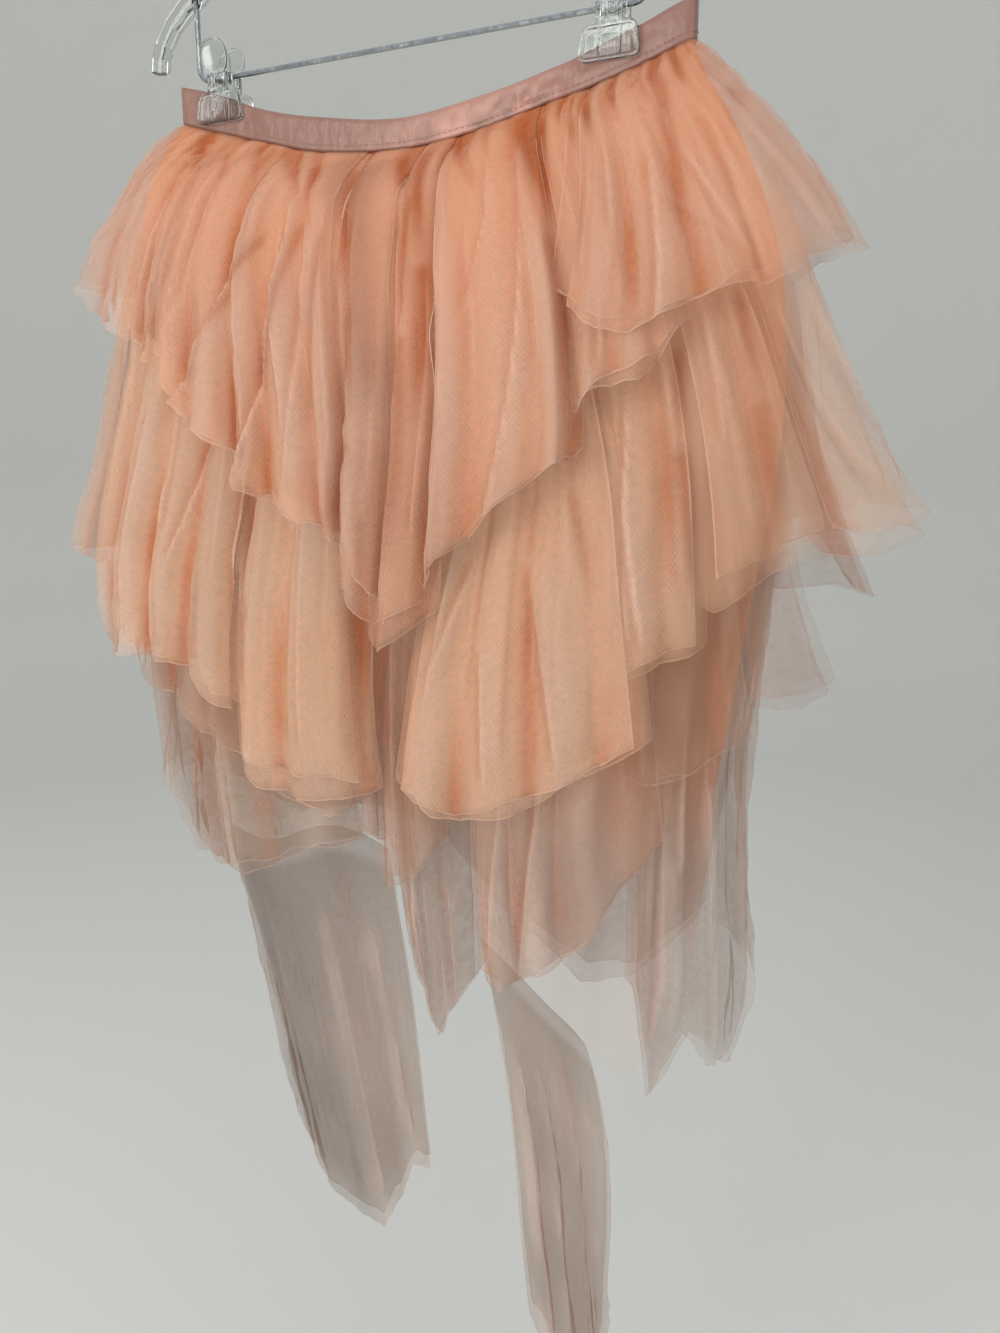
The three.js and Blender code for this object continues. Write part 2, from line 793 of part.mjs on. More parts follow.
// One half of a clip: a wide jaw on the band and a handle that leans away from the rod
function clipJaw(x, facing) {
  const half = CLIP.jawWidth / 2;
  const neck = CLIP.neckWidth / 2;
  const jaw = new THREE.Shape();
  jaw.moveTo(-half + CLIP.corner, CLIP.jawBottom);
  jaw.lineTo(half - CLIP.corner, CLIP.jawBottom);
  jaw.lineTo(half, CLIP.jawBottom + CLIP.corner);
  jaw.lineTo(half, CLIP.jawTop - CLIP.corner);
  jaw.lineTo(half - CLIP.corner, CLIP.jawTop);
  jaw.lineTo(neck, CLIP.neckBottom);
  jaw.lineTo(neck, -3);
  jaw.lineTo(-neck, -3);
  jaw.lineTo(-neck, CLIP.neckBottom);
  jaw.lineTo(-half + CLIP.corner, CLIP.jawTop);
  jaw.lineTo(-half, CLIP.jawTop - CLIP.corner);
  jaw.lineTo(-half, CLIP.jawBottom + CLIP.corner);
  jaw.closePath();
  const handle = new THREE.Shape();
  handle.moveTo(-neck, 0);
  handle.lineTo(neck, 0);
  handle.lineTo(neck, CLIP.handleCentre);
  handle.absarc(0, CLIP.handleCentre, neck, 0, Math.PI, false);
  handle.closePath();
  const plate = (shape) => {
    const flat = new THREE.ExtrudeGeometry(shape, {
      depth: CLIP.thick, bevelEnabled: false, curveSegments: 8,
    });
    return flat.rotateX(Math.PI / 2);
  };
  const inside = GRIP + CLEARANCE;
  const lean = plate(handle).rotateX(radians(CLIP.splay));
  let solid = toSolid(plate(jaw)).add(toSolid(lean.translate(0, 0, -4)));
  for (const lug of [-CLIP.lugReach, CLIP.lugReach]) {
    const depth = inside - ROD_RADIUS - CLEARANCE;
    const block = new THREE.BoxGeometry(CLIP.lugWidth, depth + 1, CLIP.lugTop - CLIP.lugBottom);
    block.translate(lug, (depth - 1) / 2, (CLIP.lugTop + CLIP.lugBottom) / 2);
    solid = solid.add(toSolid(block));
  }
  const geometry = toGeometry(solid);
  geometry.translate(0, -inside, 0);
  if (facing > 0) geometry.rotateZ(Math.PI);
  return geometry.translate(x, 0, -ROD_DROP);
}

function clipSpring(x) {
  const outer = GRIP;
  const innerRadius = outer - SPRING.thick;
  const shape = new THREE.Shape();
  shape.moveTo(-outer, SPRING.bottom);
  shape.lineTo(-innerRadius, SPRING.bottom);
  shape.lineTo(-innerRadius, SPRING.shoulder);
  shape.absarc(0, SPRING.shoulder, innerRadius, Math.PI, 0, true);
  shape.lineTo(innerRadius, SPRING.bottom);
  shape.lineTo(outer, SPRING.bottom);
  shape.lineTo(outer, SPRING.shoulder);
  shape.absarc(0, SPRING.shoulder, outer, 0, Math.PI, false);
  shape.closePath();
  const strip = new THREE.ExtrudeGeometry(shape, {
    depth: SPRING.width, bevelEnabled: false, curveSegments: 8,
  });
  strip.translate(0, 0, -SPRING.width / 2);
  strip.rotateX(Math.PI / 2).rotateZ(Math.PI / 2);
  return strip.translate(x, 0, -ROD_DROP);
}

const skirt = new THREE.Group();

function add(name, geometry, colour, roughness, metalness = 0, opacity = 1) {
  const material = new THREE.MeshStandardMaterial({
    color: colour, roughness, metalness, opacity, transparent: opacity < 1,
  });
  const mesh = new THREE.Mesh(geometry, material);
  mesh.name = name;
  skirt.add(mesh);
}

add('waistband', waistband(), COLOURS.satin, 0.35);
add('base_tube', baseTube(), COLOURS.base, 0.9);
for (const panel of PANELS) {
  add(panel.name, netPanel(panel), COLOURS[panel.tier], 0.9);
}
add('hook', hook(), COLOURS.steel, 0.3, 1);
add('hanger_body', hangerBody(), COLOURS.clear, 0.15, 0, 0.4);
add('clip_rod', clipRod(), COLOURS.steel, 0.3, 1);
for (const [side, x] of [['left', -CLIP.reach], ['right', CLIP.reach]]) {
  add(`clip_${side}_front_jaw`, clipJaw(x, -1), COLOURS.clear, 0.15, 0, 0.4);
  add(`clip_${side}_back_jaw`, clipJaw(x, 1), COLOURS.clear, 0.15, 0, 0.4);
  add(`clip_${side}_spring`, clipSpring(x), COLOURS.steel, 0.3, 1);
}

export default skirt;
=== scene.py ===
"""Looks of a high-low skirt of peach net on a clear clip hanger.

Metres, +Z up, the front faces -Y. The net is rebuilt fine over the same tables as the solids:
a base tube, four tiers of panels, each with a longer inner ply, and two tails.
"""

import math
from collections import namedtuple

import bpy
import numpy as np
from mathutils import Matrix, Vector


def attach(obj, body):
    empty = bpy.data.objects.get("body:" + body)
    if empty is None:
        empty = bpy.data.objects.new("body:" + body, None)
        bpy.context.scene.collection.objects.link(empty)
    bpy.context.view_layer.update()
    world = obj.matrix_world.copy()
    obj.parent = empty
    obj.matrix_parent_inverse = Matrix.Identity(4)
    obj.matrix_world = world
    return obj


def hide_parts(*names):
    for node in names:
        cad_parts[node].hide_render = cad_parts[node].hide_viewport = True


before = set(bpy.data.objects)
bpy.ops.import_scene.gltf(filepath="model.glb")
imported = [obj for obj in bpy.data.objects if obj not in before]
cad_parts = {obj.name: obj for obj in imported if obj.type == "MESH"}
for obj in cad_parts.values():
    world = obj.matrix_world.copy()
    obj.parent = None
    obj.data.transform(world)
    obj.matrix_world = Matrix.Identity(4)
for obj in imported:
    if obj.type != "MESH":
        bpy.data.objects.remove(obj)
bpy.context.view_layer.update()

bl_info = {
    "name": "High-low net skirt",
    "version": (1, 0, 0),
    "blender": (4, 5, 0),
    "location": "View3D > Sidebar > Skirt",
    "description": "Builds the cloth, band, hanger and studio of a tiered net skirt",
    "category": "Object",
}

MM = 0.001

# Sizes in millimetres: the rod's depth below the hook, the flat band, and the clips
ROD_DROP = 171
BAND_CENTRE = 6.5
BAND_HALF = 177.5
BAND_DEPTH = 5.5
BAND_HIGH = 24
CLIP_REACH = 137
CLIP_PAD = 38
CLIP_THICK = 2.4
CLIP_LEAN_DEGREES = 11

# How far a clip presses the band in, and over what width and depth, then where the seams lie
PINCH = 1.5
PINCH_REACH = 18
PINCH_FLAT = 21
PINCH_FADE = 18
TOP_SEAM = 0.62
TAIL_SEAM = 1.0
SEAMS = {"top": TOP_SEAM, "second": 60, "third": 120, "under": 200}

# Stitches of the band, and the walls of a ply of net and of the folded satin
STITCH_PITCH = 4.0
STITCH_LENGTH = 2.9
NET_WALL = 0.4
SATIN_WALL = 2.2

# The camera fitted to the photo: place in metres, turn to the left and tilt down in degrees,
# focal length and height of the picture in pixels
CAMERA_PLACE = (0.3515, -0.611, -0.412)
CAMERA_TURN, CAMERA_TILT = 25, 12
FOCAL_PIXELS, PHOTO_PIXELS = 1036, 1333

# The studio, in metres: radius and height of its floor and wall, from the floor's own height
STUDIO = ((2.4, 0.0), (3.0, 0.08), (3.4, 0.35), (3.6, 0.8), (3.65, 3.6))
STUDIO_SIDES = 64
FLOOR_HEIGHT = -1.32

# Waistband edges across the front: x, height of the top and of the bottom from the rod
BAND_EDGES = np.array([
    (-172, -2, -25), (-140, -11, -34), (-100, -26, -45), (-60, -35, -55), (0, -43, -60),
    (50, -38.5, -56), (95, -30.5, -47), (140, -18, -37), (185, -3, -24),
])

# Sections of the base tube: drop, half width, half depth, centre x, centre y, power
BODY = np.array([
    (0, 176.5, 3.4, 6.5, 0, 0.3), (16, 186, 14, 4, -4, 0.5), (36, 197, 26, 6, -9, 0.7),
    (56, 206, 31, 9, -13, 0.85), (86, 214, 36, 15, -18, 1), (126, 218, 41, 24, -23, 1),
    (176, 216, 43, 31, -27, 1), (226, 213, 46, 33, -30, 1), (276, 207, 50, 32, -32, 1),
    (326, 199, 54, 32, -33, 1), (376, 190, 56, 33, -34, 1), (426, 182, 57, 35, -33, 1),
    (476, 175, 56, 37, -30, 1), (526, 168, 54, 39, -26, 1), (576, 158, 52, 40, -20, 1),
    (626, 149, 50, 40, -14, 1), (676, 141, 48, 39, -8, 1), (736, 130, 45, 37, 0, 1),
    (796, 118, 42, 36, 6, 1), (856, 107, 38, 38, 12, 1), (940, 97, 34, 42, 18, 1),
])

# How far each tier stands off the base: drop, then a column for each tier
TIERS = ("top", "second", "third", "under", "tail")
LIFTS = np.array([
    (0, 3, 2.4, 2.4, 2.4, 0), (6, 4.4, 2.4, 2.4, 2.4, 0), (16, 7.2, 2.4, 2.4, 2.4, 0),
    (36, 11.5, 2.4, 2.4, 2.4, 0), (60, 17.5, 2.4, 2.4, 2.4, 0), (86, 25.5, 8, 2.4, 2.4, 0),
    (120, 35, 15, 2.4, 2.4, 0), (170, 49, 26, 9, 2.4, 0), (200, 57, 32, 12, 2.4, 0),
    (230, 62, 37, 15, 4.5, 0), (270, 66, 43, 19, 7, 0), (330, 68, 46, 23, 10, 0),
    (400, 68, 46, 28, 11.5, 0), (500, 68, 46, 30, 13, 0), (600, 68, 46, 30, 14, 0),
    (940, 68, 46, 30, 14, 0),
])

# Lower edge of the base tube: angle from the front, drop
BASE_HEM = np.array([
    (-180, 540), (-160, 490), (-140, 480), (-110, 505), (-75, 480), (-40, 440), (0, 420),
    (40, 435), (75, 490), (105, 570), (130, 640), (155, 600), (180, 540),
])

# Each fold of a panel: angle at the seam, angle at the hem, drop, and how far it stands out.
# Free names the side edges that show as cut edges; the others lie under a neighbour.
Panel = namedtuple("Panel", "tier above free folds")
PANELS = {
    "top_tier_far_left": Panel("top", 0, "", (
        (-116, -128, 130, 0), (-104, -112, 120, 8), (-92, -97, 112, 0), (-80, -81, 108, 9),
        (-71, -66, 128, -2), (-60, -55, 136, 5), (-52, -47, 140, -3), (-44.5, -40, 150, 4),
    )),
    "top_tier_left": Panel("top", 0, "R", (
        (-43, -38, 158, 4), (-40, -31, 179, -3), (-36, -25, 184, 5), (-31, -19.5, 190, -3),
        (-27, -17, 205, 5), (-24, -13, 211, -4), (-20, -7, 221, 5), (-16, -3, 225, -3),
        (-12.5, -0.5, 228, 5), (-9.3, 1.2, 231, -6),
    )),
    "top_tier_grey_pleat": Panel("top", 0, "LR", (
        (-8.2, 2.6, 250, -6), (-5.5, 3.4, 247, 5), (-2, 4.6, 249, 8), (1.5, 5.8, 256, 3),
        (4.2, 7, 263, -6),
    )),
    "top_tier_centre_strip": Panel("top", 0, "LR", (
        (5.2, 8.2, 278, -4), (7.2, 10, 273, 5), (9.5, 12.3, 270, 2), (11.4, 14.3, 267, -5),
    )),
    "top_tier_centre": Panel("top", 0, "LR", (
        (12.4, 15.2, 256, 2), (14, 16.3, 245, 6), (18, 20, 234, 1), (22, 25, 218, 7),
        (26, 30, 207, 3), (28.5, 32.6, 203, 5), (30.3, 33.8, 204, -6),
    )),
    "top_tier_right_centre": Panel("top", 0, "L", (
        (31.5, 34.6, 176, -4), (33.5, 37, 168, 3), (35.5, 40, 165, -2), (37.5, 44, 163, 3),
        (39.5, 47, 157, -2), (41.3, 51, 142, 1),
    )),
    "top_tier_right": Panel("top", 5, "L", (
        (43, 33.5, 124, 2), (45.5, 38, 140, 7), (48, 43, 147, 1), (51, 48, 142, 6),
        (55, 55, 138, 1), (60, 61, 135, 6), (66, 68, 133, 1), (72, 77, 126, 5), (80, 86, 117, 0),
        (90, 95, 112, 5), (100, 104, 116, 0), (108, 116, 122, 3),
    )),
    "top_tier_back_right": Panel("top", 0, "", (
        (110.5, 118.5, 140, 0), (118, 126, 150, 8), (126, 134, 158, 0), (136, 142, 170, 8),
        (146, 150, 176, 0), (156, 158, 182, 7), (166, 167, 186, 0), (174, 175, 188, 5),
    )),
    "top_tier_back_left": Panel("top", 0, "", (
        (176, 177, 190, 4), (185, 185, 188, 0), (194, 193, 184, 8), (204, 201, 178, 0),
        (214, 209, 170, 7), (223, 217, 158, 0), (232, 224, 146, 7), (241.5, 230, 132, 0),
    )),
    "second_tier_far_left": Panel("second", 0, "R", (
        (-100, -112, 280, 6), (-90, -100, 282, 20), (-80, -90, 284, 13), (-70, -82, 286, 24),
        (-60, -76, 290, 12),
    )),
    "second_tier_left": Panel("second", 0, "R", (
        (-57, -73, 322, 10), (-50, -65, 344, 4), (-45, -56, 340, 9), (-40, -48, 335, 0),
        (-35, -42, 333, 7), (-30, -36, 332, -2), (-26, -29, 338, 6), (-22, -24, 343, -2),
    )),
    "second_tier_left_centre": Panel("second", 0, "LR", (
        (-19, -21.5, 360, 2), (-17, -17.5, 370, 9), (-14, -12, 369, 4), (-11, -7, 368, 9),
        (-8.5, -1.5, 366, 4), (-6.5, 2.4, 367, -4),
    )),
    "second_tier_centre": Panel("second", 0, "LR", (
        (18.5, 11.2, 366, 6), (20, 15, 373, 12), (21.3, 20, 384, 7), (22.6, 26, 380, 13),
        (24, 33, 374, 8), (25.2, 38, 368, 13), (26.4, 44, 361, 7), (27.6, 50, 353, 9),
    )),
    "second_tier_right_centre": Panel("second", 0, "R", (
        (28.8, 45, 321, -3), (33, 49, 314, 4), (38, 54, 310, -2), (43, 59, 308, 4),
    )),
    "second_tier_right": Panel("second", 0, "LR", (
        (44.6, 61, 279, 4), (48, 66, 273, 10), (52, 71, 267, 5), (56, 79, 258, 12),
    )),
    "second_tier_far_right": Panel("second", 0, "L", (
        (58, 82, 257, 8), (64, 88, 254, 28), (72, 96, 250, 43), (82, 104, 246, 34),
        (92, 112, 250, 20), (100, 120, 256, 10),
    )),
    "second_tier_back_right": Panel("second", 0, "", (
        (102, 122, 280, 6), (112, 130, 292, 12), (122, 138, 300, 4), (134, 147, 312, 12),
        (146, 156, 320, 4), (158, 166, 326, 11), (170, 176, 330, 4),
    )),
    "second_tier_back_left": Panel("second", 0, "", (
        (172, 178, 332, 4), (184, 187, 330, 11), (196, 197, 322, 4), (208, 207, 312, 12),
        (220, 219, 300, 4), (234, 232, 288, 10), (256, 246, 280, 5),
    )),
    "third_tier_left": Panel("third", 0, "R", (
        (-84, -92, 330, 10), (-74, -82, 345, 22), (-64, -73, 352, 12), (-54, -62, 368, 12),
        (-46, -52, 366, 3), (-38, -41, 374, 8), (-26, -26, 380, 1),
    )),
    "third_tier_left_centre": Panel("third", 0, "LR", (
        (-24, -23, 384, 2), (-18, -17, 392, 7), (-12, -10, 396, 2), (-7, -5, 392, 7),
        (-4, -2.4, 386, 1),
    )),
    "third_tier_narrow_strip": Panel("third", 0, "LR", (
        (-2.6, -0.8, 390, -2), (-1, 0.8, 402, 4), (0.2, 2.4, 407, -2),
    )),
    "third_tier_centre_strip": Panel("third", 0, "LR", (
        (1.4, 3.6, 441, -2), (4, 5.5, 436, 5), (7, 8.5, 432, 1), (10, 12.5, 421, 5),
        (12, 16, 405, 0),
    )),
    "third_tier_centre": Panel("third", 0, "LR", (
        (18, 23, 496, 2), (21, 26.5, 499, 7), (23, 30, 497, 1), (25.5, 34, 490, 6),
        (28, 38.5, 484, 1), (31, 44, 474, 5), (34, 51, 446, -2), (36, 60, 422, -3),
    )),
    "third_tier_right_centre": Panel("third", 0, "R", (
        (37.5, 54, 380, 8), (42, 62, 380, 12), (46, 70, 372, 7), (50, 76, 366, 10),
    )),
    "third_tier_right": Panel("third", 0, "LR", (
        (51.5, 77.5, 350, 6), (56, 82, 349, 14), (60, 88, 347, 24), (64, 93, 344, 32),
    )),
    "third_tier_far_right": Panel("third", 0, "L", (
        (66, 95.5, 296, 40), (73, 101, 302, 56), (80, 107, 298, 50), (88, 114, 300, 34),
    )),
    "third_tier_back_right": Panel("third", 0, "", (
        (90, 116.5, 380, 10), (102, 124, 392, 5), (114, 133, 402, 10), (128, 144, 412, 4),
        (142, 155, 420, 9), (156, 166, 426, 3), (168, 175, 430, 7),
    )),
    "third_tier_back_left": Panel("third", 0, "", (
        (170.5, 177.5, 430, 3), (182, 186, 426, 9), (196, 197, 418, 3), (210, 209, 406, 9),
        (224, 222, 394, 3), (238, 236, 380, 9), (250, 248, 366, 4), (262, 258, 350, 10),
        (273, 265.5, 338, 6),
    )),
    "under_tier_left": Panel("under", 0, "R", (
        (-84, -96, 440, 16), (-74, -84, 452, 28), (-66, -76, 470, 18), (-58, -69, 492, 12),
        (-50, -56, 488, 4), (-42, -43, 479, 9), (-32, -30, 455, 1), (-22, -18, 432, 6),
        (-8, -4, 412, 1),
    )),
    "under_tier_point": Panel("under", 0, "LR", (
        (1, 3.5, 470, -2), (4, 6.5, 508, 4), (7, 9, 551, 0), (11, 12, 530, 4), (19, 18.5, 503, 0),
    )),
    "under_tier_right": Panel("under", 0, "L", (
        (50, 57, 520, 0), (54, 67, 606, 6), (60, 76, 560, 10), (66, 86, 590, 20),
        (72, 94, 600, 26), (80, 102, 545, 34), (88, 110, 520, 26),
    )),
    "under_tier_back_right": Panel("under", 0, "", (
        (92, 113, 500, 9), (108, 126, 530, 3), (124, 138, 556, 9), (140, 152, 560, 2),
        (156, 166, 535, 7), (170, 177, 505, 2),
    )),
    "under_tier_back_left": Panel("under", 0, "", (
        (173, 180, 500, 2), (188, 192, 470, 8), (204, 206, 458, 2), (220, 220, 470, 8),
        (236, 234, 484, 2), (250, 248, 474, 7), (268, 261, 456, 9),
    )),
    "tail_left": Panel("tail", 0, "LR", (
        (-155, -155, 757, 0), (-146, -147, 762, 8), (-136, -138, 800, 1), (-124, -122, 841, 9),
        (-112, -105, 830, 2), (-98, -88, 803, 10), (-88, -76, 760, 3), (-78, -70, 708, 12),
    )),
    "tail_right": Panel("tail", 0, "LR", (
        (147, 107, 850, 2), (153, 116, 905, 9), (159, 126, 930, 1), (165, 137, 935, 9),
        (171, 148, 920, 1), (176, 156, 895, 8), (181, 162, 868, 2),
    )),
}

# Creases that show in front: angle and drop at the top, angle and drop at the foot, how far
# the pleat stands up, and how far it spreads to the right of its edge, or left if negative
CREASES = {
    "top": (
        (-41, 25, -39, 90, 5, 9), (-39, 85, -42, 135, 4, 10), (-27, 22, -24.5, 66, 5, 9),
        (-24.5, 60, -28, 122, 6, 12), (-28, 118, -40, 206, 4, 12), (-17, 28, -15, 64, 6, 8),
        (-15, 60, -15.5, 125, 6, 12), (-15.5, 120, -18, 207, 4, 12), (-15.5, 14, -10, 76, 3, 6),
        (-10, 72, -9, 200, 2.5, 8), (-63, 20, -84, 106, 2.5, 8), (-52, 22, -50, 107, 3, 8),
        (-38, 14, -36, 107, 3, 7), (-36, 104, -39, 134, 2, 7), (-3, 20, -0.5, 101, 5, 8),
        (-0.5, 98, 1.5, 240, 5, 8), (4.8, 15, 7.8, 105, 5, 5), (7.8, 100, 6.5, 169, 4, 5),
        (6.5, 165, 8, 265, 4, 6), (13, 20, 12.5, 130, 7, 10), (12.5, 126, 15.5, 250, 6, 10),
        (15.2, 5, 20, 37, 3, 6), (22.2, 16, 21.5, 69, 3, 8), (21.5, 66, 17.5, 116, 2.5, 8),
        (28, 25, 25, 168, 3, 18), (25, 165, 22.5, 236, 2.5, 16), (51.8, 55, 46.8, 152, 3, 8),
        (68.5, 43, 67, 104, 3.5, 9), (67, 100, 67.5, 137, 3, 9), (58.8, 61, 63.8, 112, 2.5, 8),
        (51.2, 78, 67.2, 125, 1.5, 5), (38, 40, 38, 160, 2.5, 9), (76, 30, 82, 115, 3, 9),
        (88, 25, 96, 112, 3, 9), (-72, 20, -78, 104, 3, 9), (-47, 20, -45, 130, 2.5, 7),
    ),
    "second": (
        (-61.5, 147, -74.5, 304, 4, 12), (-42, 220, -43, 320, 3, 10),
        (-23.5, 200, -24, 254, 3.5, 8), (-24, 250, -20.5, 330, 3, 8),
        (-32, 189, -38.5, 266, 3, 9), (-52, 180, -58, 330, 3, 10),
        (-10.5, 225, -9.2, 349, 2, 12), (-3, 240, -1, 365, 3, -10), (19.8, 247, 16, 299, 3, 7),
        (23, 296, 25.2, 366, 3, 9), (28.5, 251, 37, 359, 2.5, 16), (31, 240, 44, 350, 2, 12),
        (34.5, 173, 37.5, 210, 4, 6), (37.5, 208, 40.8, 257, 4, 6), (40.8, 255, 44.8, 309, 4, 6),
        (41.2, 177, 42.2, 237, 3.5, 9), (42.2, 233, 48.8, 305, 3, 9), (45.8, 165, 50, 241, 4, -8),
        (50, 238, 54.5, 293, 3, -8), (55.2, 140, 59, 206, 2.5, 10), (59, 203, 65, 262, 2.5, 10),
        (60, 135, 70, 230, 2, 9), (72, 140, 88, 240, 3, 14), (80, 135, 98, 245, 3, 14),
        (-80, 150, -90, 280, 4, 9), (-90, 160, -104, 282, 3, 9),
    ),
    "third": (
        (-39, 294, -49, 361, 3, 9), (-30, 300, -36, 370, 2.5, 8), (-58, 300, -66, 350, 3, 9),
        (4.2, 291, 5.8, 372, 3, 3), (5.8, 370, 7.5, 430, 2.5, 3), (8.5, 291, 8.8, 371, 3, 5),
        (8.8, 368, 10.5, 425, 2, 5), (0.5, 300, 1.2, 400, 2, 3), (33, 375, 29.8, 495, 4, 9),
        (25.8, 384, 24, 476, 3, 7), (39, 366, 38.2, 485, 3, 8), (61, 418, 50.8, 452, 3, 6),
        (50.8, 450, 43.5, 474, 3, 6), (59.5, 416, 50, 390, 2.5, 4), (59.5, 417, 44, 408, 2.5, 4),
        (59.5, 418, 41, 440, 2.5, 5), (50.2, 337, 52.8, 382, 3, 8), (63.8, 290, 72.8, 342, 3, 8),
        (74.5, 278, 86, 344, 3, 9), (61, 300, 74, 359, 3, 7),
    ),
    "under": (
        (-40, 380, -46, 480, 3, 9), (-56, 390, -64, 480, 3, 9), (-24, 380, -26, 440, 2.5, 8),
        (6, 450, 8, 540, 3, 6), (14, 440, 14, 520, 3, 7), (60, 400, 64, 560, 3, 8),
        (72, 400, 84, 580, 3, 10), (-70, 380, -80, 450, 3, 9),
    ),
    "tail": (
        (-128, 560, -126, 820, 4, 12), (-112, 560, -106, 820, 4, 10), (-96, 540, -86, 790, 4, 9),
        (-144, 560, -148, 750, 4, 10), (156, 640, 122, 900, 4, 10), (164, 640, 136, 920, 4, 10),
        (172, 620, 150, 900, 4, 10),
    ),
}

# Deep gathers below the band: angle and drop at the top, angle and drop at the point, depth,
# and half the width at the top
GATHERS = (
    (29.5, 2, 30.2, 74, 9, 7), (42.8, 3, 42.8, 40, 7, 3.5), (62, 8, 54.8, 90, 7, 4),
    (12, 3, 11.5, 30, 7, 4), (15, 4, 19, 38, 4, 3), (49, 3, 49.5, 22, 3, 2.5),
    (-57, 4, -48, 28, 4, 3), (-36, 2, -34, 16, 4, 3), (-28, 2, -17, 32, 6, 4),
    (-21, 1, -14, 26, 5, 3), (3, 4, 6.3, 40, 9, 5), (-8, 3, -4, 60, 6, 4), (23, 3, 23.5, 20, 3, 3),
    (36, 3, 37, 26, 4, 3), (56, 3, 54, 22, 3, 2.5), (70, 3, 69, 40, 5, 3), (-44, 3, -41, 40, 4, 3),
)

# Narrow valleys, where plies lie over each other, with painted shade: angle and drop at the top,
# angle and drop at the foot, half the width at the top and at the foot, and how dark. Below zero
# the cloth is painted a shaded grey there.
SHADES = {
    "top": (
        (-7.8, 15, -0.8, 101, 2.5, 3, 0.9), (-0.8, 101, 0.2, 178, 3, 3, 0.9),
        (0.2, 176, -0.5, 240, 4, 4, 1), (1.2, 8, 6, 39, 3, 2, 1), (7.2, 38, 7.5, 122, 3, 4, 0.8),
        (7.5, 122, 9.2, 242, 4, 4, 0.6), (32, 15, 31.2, 84, 4, 3, 0.9),
        (31.2, 84, 32.8, 172, 2.5, 2, 0.5), (27.2, 4, 31.2, 65, 4, 3, 0.6),
        (38.5, 23, 38.2, 50, 3, 2, 0.7), (42.8, 17, 41.8, 41, 3, 2, 0.7),
        (18.5, 0, 22.5, 34, 3, 2, 0.5), (11.8, 0, 19.2, 44, 3, 2, 0.6),
        (7, 7, 10.5, 83, 4, 5, 0.8), (10.5, 83, 10.8, 171, 5, 4, 0.7),
        (51.8, 58, 49.2, 80, 2, 2, 0.5), (-36, 3, -29.8, 26, 3, 2, 0.6),
        (-26, 2, -14.8, 38, 3, 2, 0.6), (-18.5, 8, -10.2, 57, 3, 2, 0.6),
        (-59.2, 5, -47.2, 30, 3, 2, 0.6), (-43, 10, -35, 42, 3, 2, 0.5),
        (-20.5, 59, -30, 137, 3, 3, 0.5), (-13, 51, -15, 153, 3, 3, 0.5),
        (-8, 57, -6.8, 168, 2, 3, 0.5), (49, 7, 48.8, 29, 3, 2, 0.7),
        (64, 18, 61, 36, 3, 2, 0.7), (-3.5, 10, 4.8, 174, 13, 12, -0.6),
        (-12.8, 5, -4.5, 58, 9, 6, -0.5), (4.8, 174, 7.5, 263, 12, 8, -0.2),
    ),
    "second": (
        (33.2, 178, 33.5, 218, 3, 3, 0.6), (33.5, 218, 38.8, 271, 3, 2, 0.45),
        (50.2, 156, 51.2, 206, 3, 4, 0.8), (51.2, 206, 57, 279, 4, 3, 0.7),
        (-2.5, 217, -0.2, 266, 3, 3, 0.9), (63, 134, 67, 190, 3, 4, 0.7),
        (67, 190, 72, 262, 4, 3, 0.6), (-23.2, 207, -20.8, 275, 4, 4, 0.6),
        (-20.8, 275, -19.2, 327, 4, 3, 0.6), (-0.2, 266, 1.8, 321, 3, 3, 0.7),
    ),
}


def measure(name, description, default):
    """A length in metres that a user can change."""
    return bpy.props.FloatProperty(
        name=name, description=description, default=default, unit="LENGTH")


class SkirtSizes(bpy.types.PropertyGroup):
    """Sizes of the net's finish."""

    cell: measure("Fold detail", "Width of a face across the folds", 0.00202)
    pucker_pitch: measure(
        "Pucker pitch", "Mean distance between the small puckers at a seam", 0.008)
    pucker_depth: measure("Pucker depth", "How deep a pucker is just below its seam", 0.0045)
    under_reach: measure("Underlap", "How far the inner ply reaches under the next panel", 0.024)
    crumple: measure("Crumple", "Height of the small crumples in the net", 0.0009)
    hem_curl: measure("Hem curl", "How far the cut edges curl", 0.0022)
    ply_step: measure("Inner ply", "How much longer the inner ply of a panel is", 0.011)


def linear(code):
    """An sRGB hex colour as three linear numbers."""
    parts = [int(code[i:i + 2], 16) / 255 for i in (1, 3, 5)]
    return tuple(p / 12.92 if p <= 0.04045 else ((p + 0.055) / 1.055) ** 2.4 for p in parts)


def tint(name, description, code):
    """A colour that a user can change, from its sRGB hex value."""
    return bpy.props.FloatVectorProperty(
        name=name, description=description, subtype="COLOR", size=3, min=0, max=1,
        default=linear(code))


class SkirtColours(bpy.types.PropertyGroup):
    """Colours of the cloth and the stage."""

    top: tint("Top tier", "Net of the top tier where it is flat", "#efb492")
    second: tint("Second tier", "Net of the second tier where it is flat", "#f7c6a2")
    # Third, under and tails are coloured darker, a painted shade for the dimmer light low down
    third: tint("Third tier", "Net of the third tier where it is flat", "#b28870")
    under: tint("Under tier", "Net of the lowest tier where it is flat", "#977b67")
    tail: tint("Tails", "Net of the tails where it is flat", "#957d6c")
    base: tint("Base tube", "Dense net inside the tiers", "#e8996a")
    # Deep and shade are painted shade in folds and valleys, partly the colour of many plies; grey
    # is a painted grey shade on pleats; edge is also used as a painted highlight on crests and
    # pleats
    deep: tint("Deep folds", "Many plies of net seen through each other", "#c27046")
    shade: tint("Narrow valleys", "Cloth deep between two pleats", "#b2552a")
    grey: tint("Greyed pleat", "Cloth with few plies behind it", "#a07a66")
    edge: tint("Cut edge", "Rolled edges of the net", "#f4d4c0")
    satin: tint("Satin", "The waistband", "#9d7265")
    studio: tint("Studio", "Floor and wall of the studio", "#ebebe5")


